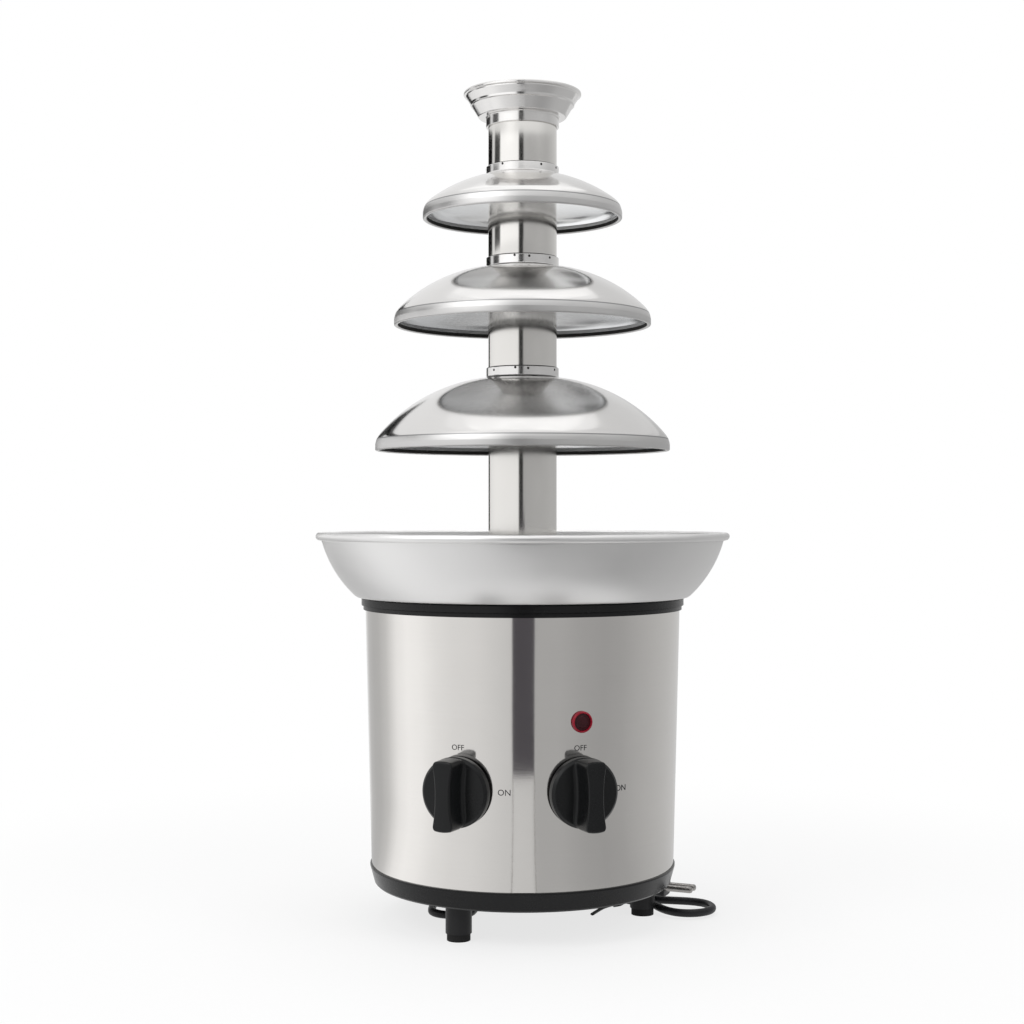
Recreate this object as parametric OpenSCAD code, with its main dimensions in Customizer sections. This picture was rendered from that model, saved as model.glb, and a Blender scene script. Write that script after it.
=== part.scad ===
// Chocolate fountain: heated bowl on a round base, stacked tower with three domed tiers,
// screw in the column, gear motor in the base. Millimetres, +Z up, front towards -Y.

/* [Base] */
// Height of the soft tip under each leg
tip_h = 4; // [3:0.5:6]
// Diameter of the soft tips
tip_d = 13; // [11:0.5:14]
// Height of a leg above its tip
leg_h = 16.5; // [12:0.5:25]
// Diameter of the legs
leg_d = 14.5; // [14.5:0.5:18]
// Radius of the circle that the legs stand on
leg_circle_r = 70; // [64:1:74]
// Angle of the first leg from the front
leg_angle = -29; // [-40:1:-20]
// Height of the bottom pan's visible band
pan_h = 11; // [9:0.5:16]
// Outside radius at the pan's upper edge
pan_r = 88.5; // [88:0.1:92]
// Thickness of the pan's floor
pan_floor = 3; // [2:0.5:4]
// Height of the stainless wrap
wrap_h = 148; // [140:1:180]
// Outside radius of the wrap at its lower edge
wrap_r_low = 87.7; // [87:0.1:88]
// Outside radius of the wrap at its upper edge
wrap_r_high = 91.3; // [90:0.1:92]
// Sheet thickness of the wrap
wrap_wall = 0.8; // [0.6:0.1:1.2]
// Height of the black ring under the bowl
ring_h = 6; // [4:0.5:10]
// Outside radius of the black ring
ring_r = 93.6; // [93:0.1:97]

/* [Bowl] */
// Radius over the rolled lip
bowl_r = 120; // [116:1:128]
// Radius where the wall leaves the flat floor
bowl_foot_r = 97; // [94:0.5:98]
// Height from the underside of the floor to the top of the lip
bowl_h = 37.2; // [30:0.1:50]
// Sheet thickness of the bowl
bowl_wall = 1.2; // [0.8:0.1:1.6]
// Radius of the rolled lip's section
lip_r = 2.2; // [1.8:0.1:3]
// Outward bulge of the wall
bowl_bulge = 3; // [1:0.1:4]

/* [Column] */
// Outside diameter of the column tubes
tube_d = 40; // [38:0.5:44]
// Wall of the column tubes
tube_wall = 0.8; // [0.6:0.1:1.2]
// Radial clearance between a tube and the collar it stands in
collar_gap = 0.3; // [0.2:0.05:0.5]
// Wall of the collars
collar_wall = 0.9; // [0.6:0.1:1.5]
// Depth that a tube sits in the collar below it
seat_depth = 4; // [3:0.5:4.5]
// Height of the large tier's rim above the bowl floor
lower_rise = 83.3; // [60:0.1:110]
// Height of the medium tier's rim above the large collar
middle_rise = 24.5; // [15:0.1:50]
// Height of the small tier's rim above the medium collar
upper_rise = 22.5; // [15:0.1:50]
// Height of the crown's sleeve above the small collar
crown_rise = 23.1; // [15:0.1:50]

/* [Tiers] */
// Rim radius of the large tier
large_r = 85.7; // [78:0.1:95]
// Dome height of the large tier
large_h = 42.5; // [32:0.1:50]
// Bulge of the large tier's dome
large_bulge = 7; // [5:0.1:12]
// Collar height of the large tier
large_collar_h = 5.8; // [4.8:0.1:12]
// Rim radius of the medium tier
medium_r = 74.8; // [66:0.1:82]
// Dome height of the medium tier
medium_h = 33.8; // [26:0.1:40]
// Bulge of the medium tier's dome
medium_bulge = 5.1; // [4:0.1:9]
// Collar height of the medium tier
medium_collar_h = 5.9; // [4.8:0.1:12]
// Rim radius of the small tier
small_r = 58.1; // [50:0.1:66]
// Dome height of the small tier
small_h = 25.2; // [20:0.1:32]
// Bulge of the small tier's dome
small_bulge = 2.2; // [2:0.1:6]
// Collar height of the small tier
small_collar_h = 5.2; // [4.8:0.1:12]
// Sheet thickness of the tiers
tier_wall = 1; // [0.8:0.1:1.4]
// Height of the straight skirt at a rim
skirt_h = 3.5; // [3:0.1:6]
// Width of the rounded shoulder above a rim
shoulder_w = 2; // [1.5:0.1:3]
// Height of the shoulder's start above a rim
shoulder_h = 9; // [7:0.1:11]
// Bulge of the shoulder
shoulder_bulge = 0.5; // [0.3:0.05:0.7]
// Width of the folded hem inside a rim
hem_w = 2.2; // [1.6:0.1:3]

/* [Crown] */
// Radius over the crown's lip
crown_r = 34.3; // [30:0.1:40]
// Height of the crown's cup above its sleeve
cup_h = 14.4; // [11:0.1:20]
// Height of the sleeve that grips the top tube
sleeve_h = 5.9; // [4:0.1:10]
// Wall of the crown
crown_wall = 1.2; // [0.8:0.1:1.6]
// Lower radius of the cup
cup_low_r = 25.5; // [24:0.1:28]

/* [Auger and drive] */
// Radius of the drive shaft
shaft_r = 4; // [3.5:0.1:5]
// Height of the shaft's end above the bowl floor
shaft_rise = 48; // [40:1:60]
// Clearance between the screw's edge and the tube
auger_gap = 0.8; // [0.6:0.1:1.5]
// Radius of the screw's core
auger_core_r = 7; // [6.2:0.1:9]
// Radius of the screw's hub
auger_hub_r = 10; // [9.6:0.1:13]
// Axial thickness of the screw's flight
flight_t = 3; // [2:0.1:4]
// Advance of the screw in one turn
flight_pitch = 36; // [28:1:45]
// Radius of the cross pin in the shaft
cross_pin_r = 1.5; // [1.2:0.1:1.8]
// Clearance of the screw on the shaft
auger_fit = 0.1; // [0.06:0.02:0.2]
// Radial clearance of a running shaft
run_gap = 0.05; // [0.03:0.01:0.1]
// Module of the gear teeth
gear_m = 1; // [0.95:0.05:1.05]
// Teeth of a large gear
wheel_teeth = 48; // [44:2:50]
// Teeth of a pinion
pinion_teeth = 12; // [12:1:14]
// Play between meshed teeth
backlash = 0.35; // [0.25:0.05:0.45]
// Length of the motor can
can_h = 52; // [40:1:60]
// Radius of the motor can
can_r = 17; // [15:0.5:18]

/* [Controls] */
// Angle of each knob from the front
knob_angle = 21.5; // [19:0.5:26]
// Height of the knobs above the wrap's lower edge
knob_rise = 53.5; // [45:0.5:60]
// Radius of the knob discs
knob_r = 19; // [16:0.5:21]
// Thickness of the knob discs
knob_disc_t = 6; // [5:0.5:8]
// Height of the grip above the disc
grip_h = 15; // [10:0.5:18]
// Width of the grip at its ends
grip_w = 12.5; // [10:0.5:15]
// Depth of the hollow in each side of the grip
grip_waist = 1.8; // [1:0.1:2.4]
// Clearance between a knob and the wrap
knob_gap = 1.2; // [1:0.1:2]
// Radius of the switch shafts
stem_r = 3; // [2.5:0.1:3.2]
// Height of the pilot lamp above the wrap's lower edge
lamp_rise = 90.9; // [85:0.1:110]
// Radius of the lamp lens
lens_r = 6; // [5.6:0.1:7]

/* [Mains lead] */
// Diameter of the lead
cord_d = 4.6; // [4.4:0.1:4.8]
// Length of the plug's body
plug_len = 30; // [26:1:36]
// Length of the plug's pins
plug_pin_len = 17; // [15:1:19]

/* [Hidden] */
$fn = 96;

// Heights of the base, from the floor up
leg_z = tip_h;
pan_z = leg_z + leg_h;
wrap_z = pan_z + pan_h;
ring_z = wrap_z + wrap_h;
bowl_z = ring_z + ring_h;
bowl_floor_z = bowl_z + bowl_wall;
legs_count = 3;

// Small clearances and fastener sizes
slip = 0.2;
hole_gap = 0.3;
screw_r = 2;
screw_head_r = 3.6;
screw_head_h = 2.4;
thread_depth = 9;

// Wrap and the pieces that it stands between
function wrap_r(z) = wrap_r_low + (wrap_r_high - wrap_r_low) * (z - wrap_z) / wrap_h;
pan_draft = 2.5;
spigot_h = 7;
spigot_wall = 2;
pan_spigot_r = wrap_r_low - wrap_wall - slip;
ring_skirt_wall = 2.4;
ring_skirt_h = 11.5;
ring_skirt_r = wrap_r(ring_z - ring_skirt_h) - wrap_wall - slip;
ring_lip_r = wrap_r_high + 1.2;
ring_lip_h = 1.2;
ring_inner_r = wrap_r_high - 13;

// Deck plate and what is bolted to it
deck_t = 1.5;
deck_top = ring_z - ring_skirt_h;
deck_z = deck_top - deck_t;
deck_r = ring_skirt_r - ring_skirt_wall - hole_gap;
stud_circle_r = ring_inner_r + 5;
stud_boss_r = 4.8;
stud_angle = 15;
nut_h = 3.2;
nut_af = 7;
rod_circle_r = leg_circle_r;
rod_angle = 45;
rod_r = 4;

// Heater under the bowl
heater_r = 66;
heater_bore_r = 24;
heater_t = 5;
heater_z = bowl_z - heater_t;
element_circle_r = 50;
element_r = 3.2;
element_sweep = 320;

// Drive train, one stage above the other
train_angle = 105;
gear_step = gear_m * (wheel_teeth + pinion_teeth) / 2;
case_wall = 2.2;
case_top_t = 2.5;
wheel_tip_r = gear_m * wheel_teeth / 2 + 0.7 * gear_m;
case_in_r = wheel_tip_r + 1.6;
case_nose_r = 9;
wheel_t = 5;
wheel_gap = 2;
case_h = case_top_t + 2 * wheel_t + 4 * wheel_gap + 1.5;
cover_t = 2.5;
case_z = deck_z - case_h;
cover_z = case_z - cover_t;
wheel_low_z = case_z + wheel_gap + 1;
wheel_high_z = wheel_low_z + wheel_t + wheel_gap;
pinion_t = 2 * wheel_gap + wheel_t - 1;
gear_pin_r = 2.5;
bush_wall = 2;
bush_r = shaft_r + run_gap + bush_wall;
case_lug_r = 4;
case_lug_x = case_in_r + case_wall + case_lug_r - 1;
case_lugs = [[-case_lug_x, 0], [case_lug_x, 0], [-case_lug_x, gear_step], [case_lug_x, gear_step]];
rotor_shaft_r = 1.6;
can_wall = 1.2;
cap_h = 6;
magnet_t = 3.5;
magnet_inset = 8;
core_inset = 10;
cap_rim_h = 3;
tab_x = 8;
tab_size = [4, 0.8, 7];
rotor_foot = cap_h - cap_rim_h - 1.2;
can_z = cover_z - can_h;

// Tower heights, each from the piece below it
tube_r = tube_d / 2;
tube_bore_r = tube_r - tube_wall;
collar_bore_r = tube_r + collar_gap;
collar_r = collar_bore_r + collar_wall;
large_rim_z = bowl_floor_z + lower_rise;
large_top_z = large_rim_z + large_h;
large_seat_z = large_top_z + large_collar_h - seat_depth;
medium_rim_z = large_top_z + large_collar_h + middle_rise;
medium_top_z = medium_rim_z + medium_h;
medium_seat_z = medium_top_z + medium_collar_h - seat_depth;
small_rim_z = medium_top_z + medium_collar_h + upper_rise;
small_top_z = small_rim_z + small_h;
small_seat_z = small_top_z + small_collar_h - seat_depth;
sleeve_z = small_top_z + small_collar_h + crown_rise;
cup_z = sleeve_z + sleeve_h;
crown_top_z = cup_z + cup_h;
crown_seat_z = cup_z + crown_wall;
hem_h = skirt_h - 0.9;
dome_steps = 16;
shoulder_steps = 5;

// Inlets at the foot of the lower tube and the pegs that locate it
inlet_r = 8;
peg_r = 2.5;
peg_h = 13;
peg_circle_r = tube_r + collar_gap + peg_r;
peg_angle = 60;

// Screw in the column
seal_neck_r = 9;
seal_lip_h = 5;
seal_flange_r = 12;
seal_flange_t = 1.5;
auger_z = bowl_floor_z + seal_lip_h + 1.3;
cross_pin_z = auger_z + 7;
cross_pin_len = 2 * auger_hub_r - 3;
hub_h = 18;
auger_top_z = cup_z - 3;
flight_r = tube_bore_r - auger_gap;
flight_z = auger_z + 3;
flight_top_z = auger_top_z - 6;
flight_steps = 18;
shaft_top_z = bowl_floor_z + shaft_rise;

// Controls on the wrap
knob_z = wrap_z + knob_rise;
lamp_z = wrap_z + lamp_rise;
knob_face_r = wrap_r(knob_z);
knob_back_r = knob_face_r + knob_gap;
knob_front_r = knob_back_r + knob_disc_t;
knob_rim_w = 1.8;
knob_rim_h = 1;
neck_r = 4.5;
shoulder_r = 7;
shoulder_end_r = knob_face_r - wrap_wall - 0.6;
switch_front_r = shoulder_end_r - 5;
switch_size = [24, 28, 20];
switch_nut_af = 12;
switch_nut_t = 2;
switch_nut_r = knob_face_r + 0.5;
neck_end_r = switch_nut_r + switch_nut_t + 0.8;
stem_end_r = knob_front_r + grip_h - 5;
lamp_face_r = wrap_r(lamp_z);
lamp_barrel_r = lens_r - 1.2;
lamp_barrel_len = 18;
lamp_nut_t = 2.5;
lamp_nut_af = 13;

// Route of the free lead: out of the relief, down, under the base, round and to the hank
cord_r = cord_d / 2;
hank_z = 3.6;
lead_route = [
    [0, 114, 45], [0, 124, 44.4], [-2, 136, 39], [-7, 147, 29], [-15, 155, 17], [-25, 158, 8],
    [-35, 156, 3.5], [-44, 149, 2.5], [-51, 138, 2.5], [-55, 124, 2.5], [-57, 106, 2.5],
    [-57, 84, 2.5], [-56, 60, 2.5], [-54.5, 36, 2.5], [-53, 14, 2.5], [-52.8, -2.3, 2.5],
    [-51.2, -8.4, 2.5], [-46.7, -12.9, 2.5], [-40.6, -14.5, 2.5], [-34.5, -12.9, 2.5], [-30, -8.4, 2.5],
    [-28.4, -2.3, 2.5], [-27, 8, 2.5], [-23.5, 20, 2.5], [-19, 32, 2.5], [-13.5, 44, 2.5], [-8.5, 55, 2.5],
    [-4.5, 64, 2.5], [-0.5, 72, 2.8], [6.5, 78.5, 3.2], [16.5, 81.3, 3.6], [27.3, 79, 3.6]
];

relief_z = lead_route[0][2];
relief_r = wrap_r(relief_z);
relief_end = lead_route[0][1];
relief_flange_r = 6.2;

// Wires inside the base, from the relief and the terminal block to what they feed
wire_r = 1.1;
block_wire_z = pan_z + pan_floor + 6.5;
inner_lead = [[0, 83.8, relief_z], [0, 78, relief_z], [0, 72, relief_z - 4],
    [0, 67.5, block_wire_z + 4], [0, 64.5, block_wire_z + 1.4], [0, 60.4, block_wire_z + 1]];
knob_wires = [for (side = [-1, 1]) [
    [9 * side, 45.7, block_wire_z], [10 * side, 38, block_wire_z], [13 * side, 10, block_wire_z + 1],
    [15 * side, -20, block_wire_z + 12], [16 * side, -38, knob_z - 19], [17.5 * side, -44.5, knob_z - 3],
    [18.5 * side, -47, knob_z], [20.4 * side, -51.8, knob_z]]];
motor_wire = [[0, 45.7, block_wire_z], [1, 39, block_wire_z + 1], [14, 26, block_wire_z + 10],
    [38, 14, can_z - 40], [54, 9, can_z - 28], [59.5, 7.9, can_z - 18], [60.1, 7.8, can_z - 9.4]];
heater_wire = [[-26, -50, knob_z], [-25, -47.5, knob_z + 1], [-25, -45.5, knob_z + 10],
    [-24.5, -45, deck_z - 16.5], [-24, -45.5, deck_top], [-21.5, -46, heater_z - 8],
    [-19.2, -46.4, heater_z - 4.2]];
lamp_wire = [[27, -48.5, knob_z], [27.5, -47, knob_z + 5], [28, -50, lamp_z - 14.4],
    [25.5, -60, lamp_z - 3.4], [25.2, -64, lamp_z]];
wire_routes = concat(knob_wires, [motor_wire, heater_wire, lamp_wire]);

// Hank: one long loop drawn in at its waist, whose last fold climbs over the first run
hank_centre = [64.9, 28.3];
hank_angle = -40;
hank_half_run = 40;
hank_waist_half = 9;
hank_fold_r = 11.5;
hank_step = 5.2;
hank_end_r = 15.6;
hank_waist_step = 2;
hank_waist_shift = 0.9;
hank_lift = 5.1;
run_rings = 5;
fold_rings = 7;
hank_rings = 2 * (run_rings + fold_rings);

// Plug and tail, beside the hank
plug_turn = 18;
plug_entry = [-22, 18, 6.4];
plug_w = 14;
plug_t = 11;
plug_pin_r = 2;
plug_pin_pitch = 7;
boot_len = 9;
tie_w = 6;
tie_t = 0.8;
tie_gap = 0.3;
tie_tail_r = 0.9;

// Points on an arc from p to q that swells to the left by bulge, moved inwards by inset
function arc_points(p, q, bulge, inset = 0, steps = dome_steps) =
    let (chord = q - p, len = norm(chord), along = chord / len, side = [-along[1], along[0]])
    let (r = (len * len / 4 + bulge * bulge) / (2 * bulge), half = asin(len / 2 / r))
    let (centre = (p + q) / 2 + side * (bulge - r))
    [for (i = [0:steps]) let (a = -half + 2 * half * i / steps)
        centre + (r - inset) * (sin(a) * along + cos(a) * side)];

function reversed(list) = [for (i = [len(list) - 1:-1:0]) list[i]];
function unit(v) = v / norm(v);
function smooth(t) = let (c = min(max(t, 0), 1)) c * c * (3 - 2 * c);

// Direction of a route at point i
function heading(route, i) = unit(route[min(i + 1, len(route) - 1)] - route[max(i - 1, 0)]);

// One ring of a tube, square to the route and with its first corner sideways
function ring_points(centre, along, r, sides) =
    let (across = unit(cross(along, [0, 0, 1])), up = cross(along, across))
    [for (k = [0:sides - 1]) let (a = 360 * (k + 0.5) / sides)
        centre + r * (cos(a) * across + sin(a) * up)];

// Triangles of a closed tube with n rings
function tube_faces(n, sides) = concat(
    [for (i = [0:n - 2], k = [0:sides - 1]) let (m = (k + 1) % sides)
        [i * sides + k, (i + 1) * sides + m, i * sides + m]],
    [for (i = [0:n - 2], k = [0:sides - 1]) let (m = (k + 1) % sides)
        [i * sides + k, (i + 1) * sides + k, (i + 1) * sides + m]],
    [for (k = [1:sides - 2]) [0, k, k + 1]],
    [for (k = [1:sides - 2]) let (s = (n - 1) * sides) [s, s + k + 1, s + k]]
);

module tube(route, r, sides) {
    n = len(route);
    rings = [for (i = [0:n - 1]) each ring_points(route[i], heading(route, i), r, sides)];
    polyhedron(rings, tube_faces(n, sides));
}

// Place of ring i of the hank, in the hank's own frame
function hank_climb(i) = smooth((i - hank_rings + fold_rings) / fold_rings);
function hank_radius(i) = let (r = hank_fold_r + hank_step * (1 - i / hank_rings))
    r + (hank_end_r - r) * hank_climb(i);
function hank_height(i) = hank_z + hank_lift * hank_climb(i);
function hank_run(r, f, side) =
    let (along = hank_half_run * (2 * f - 1))
    let (waist = hank_waist_step * ((r - hank_fold_r) / hank_step + hank_waist_shift))
    let (open = smooth((abs(along) - hank_waist_half) / (hank_half_run - hank_waist_half)))
    side * [along, waist + (r - waist) * open];
function hank_fold(r, f, side) =
    let (a = 90 - 180 * f)
    side * [hank_half_run + r * cos(a), r * sin(a)];
function hank_local(i) =
    let (j = i % hank_rings, half = hank_rings / 2, r = hank_radius(i))
    let (side = j < half ? 1 : -1, s = j % half)
    let (flat = s < run_rings ? hank_run(r, s / run_rings, side)
        : hank_fold(r, (s - run_rings) / fold_rings, side))
    [flat[0], flat[1], hank_height(i)];
function hank_place(p) = [
    hank_centre[0] + p[0] * cos(hank_angle) - p[1] * sin(hank_angle),
    hank_centre[1] + p[0] * sin(hank_angle) + p[1] * cos(hank_angle), p[2]];
hank_inner = [for (i = [0:hank_rings]) hank_local(i)];
hank_route = [for (p = concat(
    [hank_inner[0] - [cord_d, 0, 0]], hank_inner, [hank_inner[hank_rings] + [cord_d, 0, 0]]))
    hank_place(p)];
hank_start = hank_route[0];
hank_end = hank_route[len(hank_route) - 1];

// Least clear distance between stretches of the hank that are not neighbours
function mixed(route, i, f) = route[i] * (1 - f) + route[i + 1] * f;
hank_samples = [for (i = [0:len(hank_route) - 2], f = [0, 0.25, 0.5, 0.75]) mixed(hank_route, i, f)];
hank_apart = 14;
hank_self_gap = min([for (i = [0:len(hank_samples) - 1], k = [i + hank_apart:len(hank_samples) - 1])
    if (k < len(hank_samples)) norm(hank_samples[i] - hank_samples[k])]) - cord_d;
echo(hank_self_gap = hank_self_gap);

plug_start = hank_place(plug_entry);
plug_angle = hank_angle + plug_turn;
plug_along = [cos(plug_angle), sin(plug_angle), 0];
hank_along = [cos(hank_angle), sin(hank_angle), 0];
tail_route = [
    hank_end,
    hank_end + 4 * hank_along,
    hank_end * 0.55 + (plug_start - 4 * plug_along) * 0.45 + [0.5, 0.6, 0.8],
    plug_start - 4 * plug_along,
    plug_start
];

// Tooth outline of a gear with straight-sided teeth along the involute
function involute_turn(base_r, r) =
    r > base_r ? let (a = acos(base_r / r)) tan(a) * 180 / PI - a : 0;
function gear_outline(teeth) =
    let (pitch_r = gear_m * teeth / 2, base_r = pitch_r * cos(20))
    let (half = 90 / teeth - backlash / 4 / pitch_r * 180 / PI + involute_turn(base_r, pitch_r))
    let (radii = [pitch_r - 1.05 * gear_m, pitch_r - 0.3 * gear_m, pitch_r + 0.7 * gear_m])
    [for (t = [0:teeth - 1], s = [0:5])
        let (r = radii[s < 3 ? s : 5 - s], a = half - involute_turn(base_r, r))
        let (turn = 360 * t / teeth + (s < 3 ? -a : a))
        r * [cos(turn), sin(turn)]];

module gear(teeth, t) {
    linear_extrude(t) polygon(gear_outline(teeth));
}

// Places that repeat
module around(angle, r, count = legs_count) {
    for (i = [0:count - 1]) {
        rotate(angle + i * 360 / count) translate([0, -r, 0]) children();
    }
}

module on_panel(angle, z) {
    rotate(angle) translate([0, 0, z]) rotate([90, 0, 0]) children();
}

module hex_nut(af, t, bore_r) {
    difference() {
        cylinder(d = af / cos(30), h = t, $fn = 6);
        translate([0, 0, -1]) cylinder(r = bore_r, h = t + 2, $fn = 48);
    }
}

module ring_solid(outer_r, inner_r, h) {
    difference() {
        cylinder(r = outer_r, h = h);
        translate([0, 0, -1]) cylinder(r = inner_r, h = h + 2);
    }
}

// Screw that points up, its head's underside at the origin
module screw_up(len) {
    translate([0, 0, -screw_head_h]) cylinder(r = screw_head_r, h = screw_head_h, $fn = 32);
    cylinder(r = screw_r, h = len, $fn = 32);
}

module along_train() {
    rotate(train_angle) rotate(180) children();
}

// Base
module leg_tips() {
    color([0.05, 0.05, 0.05]) around(leg_angle, leg_circle_r) {
        cylinder(d = tip_d, h = tip_h);
        cylinder(r = 2.5, h = tip_h + 3, $fn = 32);
    }
}

module legs() {
    color([0.08, 0.08, 0.08]) around(leg_angle, leg_circle_r) translate([0, 0, leg_z]) {
        difference() {
            cylinder(d = leg_d, h = leg_h);
            translate([0, 0, -1]) cylinder(r = 2.5 + slip / 2, h = 1 + 3 + slip, $fn = 32);
            translate([0, 0, leg_h - thread_depth]) cylinder(r = screw_r + slip / 2, h = leg_h, $fn = 32);
        }
    }
}

module base_screws() {
    len = pan_floor + thread_depth - 1;
    color([0.7, 0.7, 0.72]) {
        around(leg_angle, leg_circle_r) translate([0, 0, pan_z + pan_floor]) {
            rotate([180, 0, 0]) screw_up(len);
        }
        around(rod_angle, rod_circle_r) translate([0, 0, pan_z]) screw_up(len);
    }
}

module bottom_pan() {
    color([0.07, 0.07, 0.07]) difference() {
        translate([0, 0, pan_z]) union() {
            rotate_extrude() polygon([
                [0, 0], [pan_r - pan_draft - 1, 0], [pan_r - pan_draft, 1], [pan_r, pan_h - 1],
                [pan_r, pan_h], [pan_spigot_r, pan_h], [pan_spigot_r, pan_h + spigot_h],
                [pan_spigot_r - spigot_wall, pan_h + spigot_h], [pan_spigot_r - spigot_wall, pan_floor],
                [0, pan_floor]]);
        }
        around(leg_angle, leg_circle_r) translate([0, 0, pan_z - 1]) {
            cylinder(r = screw_r + slip / 2, h = pan_floor + 2, $fn = 32);
        }
        around(rod_angle, rod_circle_r) translate([0, 0, pan_z - 1]) {
            cylinder(r = screw_r + slip / 2, h = pan_floor + 2, $fn = 32);
        }
    }
}

module stainless_wrap() {
    color([0.8, 0.8, 0.79]) difference() {
        translate([0, 0, wrap_z]) cylinder(r1 = wrap_r_low, r2 = wrap_r_high, h = wrap_h);
        translate([0, 0, wrap_z - 0.001]) {
            cylinder(r1 = wrap_r_low - wrap_wall, r2 = wrap_r_high - wrap_wall, h = wrap_h + 0.002);
        }
        for (side = [-1, 1]) {
            on_panel(side * knob_angle, knob_z) {
                translate([0, 0, knob_face_r - 8]) cylinder(r = neck_r + hole_gap, h = 16, $fn = 48);
            }
        }
        on_panel(knob_angle, lamp_z) {
            translate([0, 0, lamp_face_r - 8]) cylinder(r = lamp_barrel_r + hole_gap, h = 16, $fn = 48);
        }
        on_panel(180, relief_z) {
            translate([0, 0, relief_r - 8]) cylinder(r = 5 + hole_gap, h = 16, $fn = 48);
        }
    }
}

module top_ring() {
    color([0.06, 0.06, 0.06]) difference() {
        union() {
            translate([0, 0, ring_z]) rotate_extrude() polygon([
                [ring_inner_r, 0], [ring_skirt_r - ring_skirt_wall, 0],
                [ring_skirt_r - ring_skirt_wall, -ring_skirt_h], [ring_skirt_r, -ring_skirt_h],
                [ring_skirt_r, 0], [wrap_r_high + hole_gap, 0], [wrap_r_high + hole_gap, -ring_lip_h],
                [ring_lip_r, -ring_lip_h], [ring_lip_r, 1], [ring_r, 1.4], [ring_r, ring_h - 1],
                [ring_r - 1, ring_h], [ring_inner_r, ring_h]]);
            around(stud_angle, stud_circle_r) translate([0, 0, deck_top]) {
                cylinder(r = stud_boss_r, h = ring_skirt_h + 1, $fn = 48);
            }
        }
        around(stud_angle, stud_circle_r) translate([0, 0, deck_top - 1]) {
            cylinder(r = screw_r + slip / 2, h = ring_skirt_h + ring_h + 3, $fn = 32);
        }
    }
}

// Bowl and what hangs under it
wall_top = [bowl_r - lip_r - 0.6, bowl_z + bowl_h - lip_r];
wall_foot = [bowl_foot_r, bowl_z + 0.4];

module bowl() {
    outer = arc_points(wall_top, wall_foot, bowl_bulge, 0, 12);
    inner = arc_points(wall_top, wall_foot, bowl_bulge, bowl_wall, 12);
    color([0.78, 0.78, 0.77]) {
        rotate_extrude() polygon(concat(
            outer, [[bowl_foot_r - 1.5, bowl_z], [seal_neck_r, bowl_z], [seal_neck_r, bowl_floor_z],
            [bowl_foot_r - 2.6, bowl_floor_z]], reversed(inner)));
        translate([0, 0, bowl_z + bowl_h - lip_r]) {
            rotate_extrude() translate([bowl_r - lip_r, 0]) circle(r = lip_r, $fn = 32);
        }
    }
}

module locating_pegs() {
    color([0.8, 0.8, 0.8]) around(peg_angle, peg_circle_r) translate([0, 0, bowl_floor_z]) {
        cylinder(r = peg_r, h = peg_h - 1, $fn = 48);
        translate([0, 0, peg_h - 1]) cylinder(r1 = peg_r, r2 = peg_r - 1, h = 1, $fn = 48);
    }
}

module bowl_studs() {
    stud_len = ring_h + ring_skirt_h + deck_t + nut_h + 1.5;
    color([0.7, 0.7, 0.72]) around(stud_angle, stud_circle_r) translate([0, 0, bowl_z - stud_len]) {
        cylinder(r = screw_r, h = stud_len, $fn = 32);
    }
}

module bowl_nuts() {
    color([0.7, 0.7, 0.72]) around(stud_angle, stud_circle_r) translate([0, 0, deck_z - nut_h]) {
        hex_nut(nut_af, nut_h, screw_r + slip / 2);
    }
}

module shaft_seal() {
    color([0.75, 0.72, 0.68]) rotate_extrude() polygon([
        [shaft_r + run_gap, bowl_z - seal_flange_t], [seal_flange_r, bowl_z - seal_flange_t],
        [seal_flange_r, bowl_z], [seal_neck_r - slip / 2, bowl_z], [seal_neck_r - slip / 2, bowl_floor_z],
        [seal_flange_r, bowl_floor_z], [seal_flange_r, bowl_floor_z + seal_flange_t],
        [shaft_r + 4, bowl_floor_z + seal_flange_t], [shaft_r + 2, bowl_floor_z + seal_lip_h],
        [shaft_r + run_gap, bowl_floor_z + seal_lip_h]]);
}

module heater_plate() {
    color([0.72, 0.73, 0.74]) difference() {
        translate([0, 0, heater_z]) ring_solid(heater_r, heater_bore_r, heater_t);
        translate([0, 0, heater_z]) rotate_extrude() {
            translate([element_circle_r, 0]) circle(r = element_r + slip / 2, $fn = 32);
        }
    }
}

module heater_element() {
    color([0.35, 0.33, 0.32]) {
        translate([0, 0, heater_z]) rotate(-90 + (360 - element_sweep) / 2) {
            rotate_extrude(angle = element_sweep) {
                translate([element_circle_r, 0]) circle(r = element_r, $fn = 32);
            }
        }
    }
}

module thermostat() {
    color([0.15, 0.15, 0.16]) rotate(190) translate([0, -35, heater_z]) {
        translate([0, 0, -1.2]) cylinder(r = 9.5, h = 1.2);
        translate([0, 0, -7]) cylinder(r = 7.5, h = 7);
    }
}

module thermal_fuse() {
    color([0.6, 0.6, 0.62]) rotate(250) translate([0, -35, heater_z]) {
        translate([-6, -3, -1]) cube([12, 6, 1]);
        translate([-6, 0, -3]) rotate([0, 90, 0]) cylinder(r = 2.2, h = 12, $fn = 32);
    }
}

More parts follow.
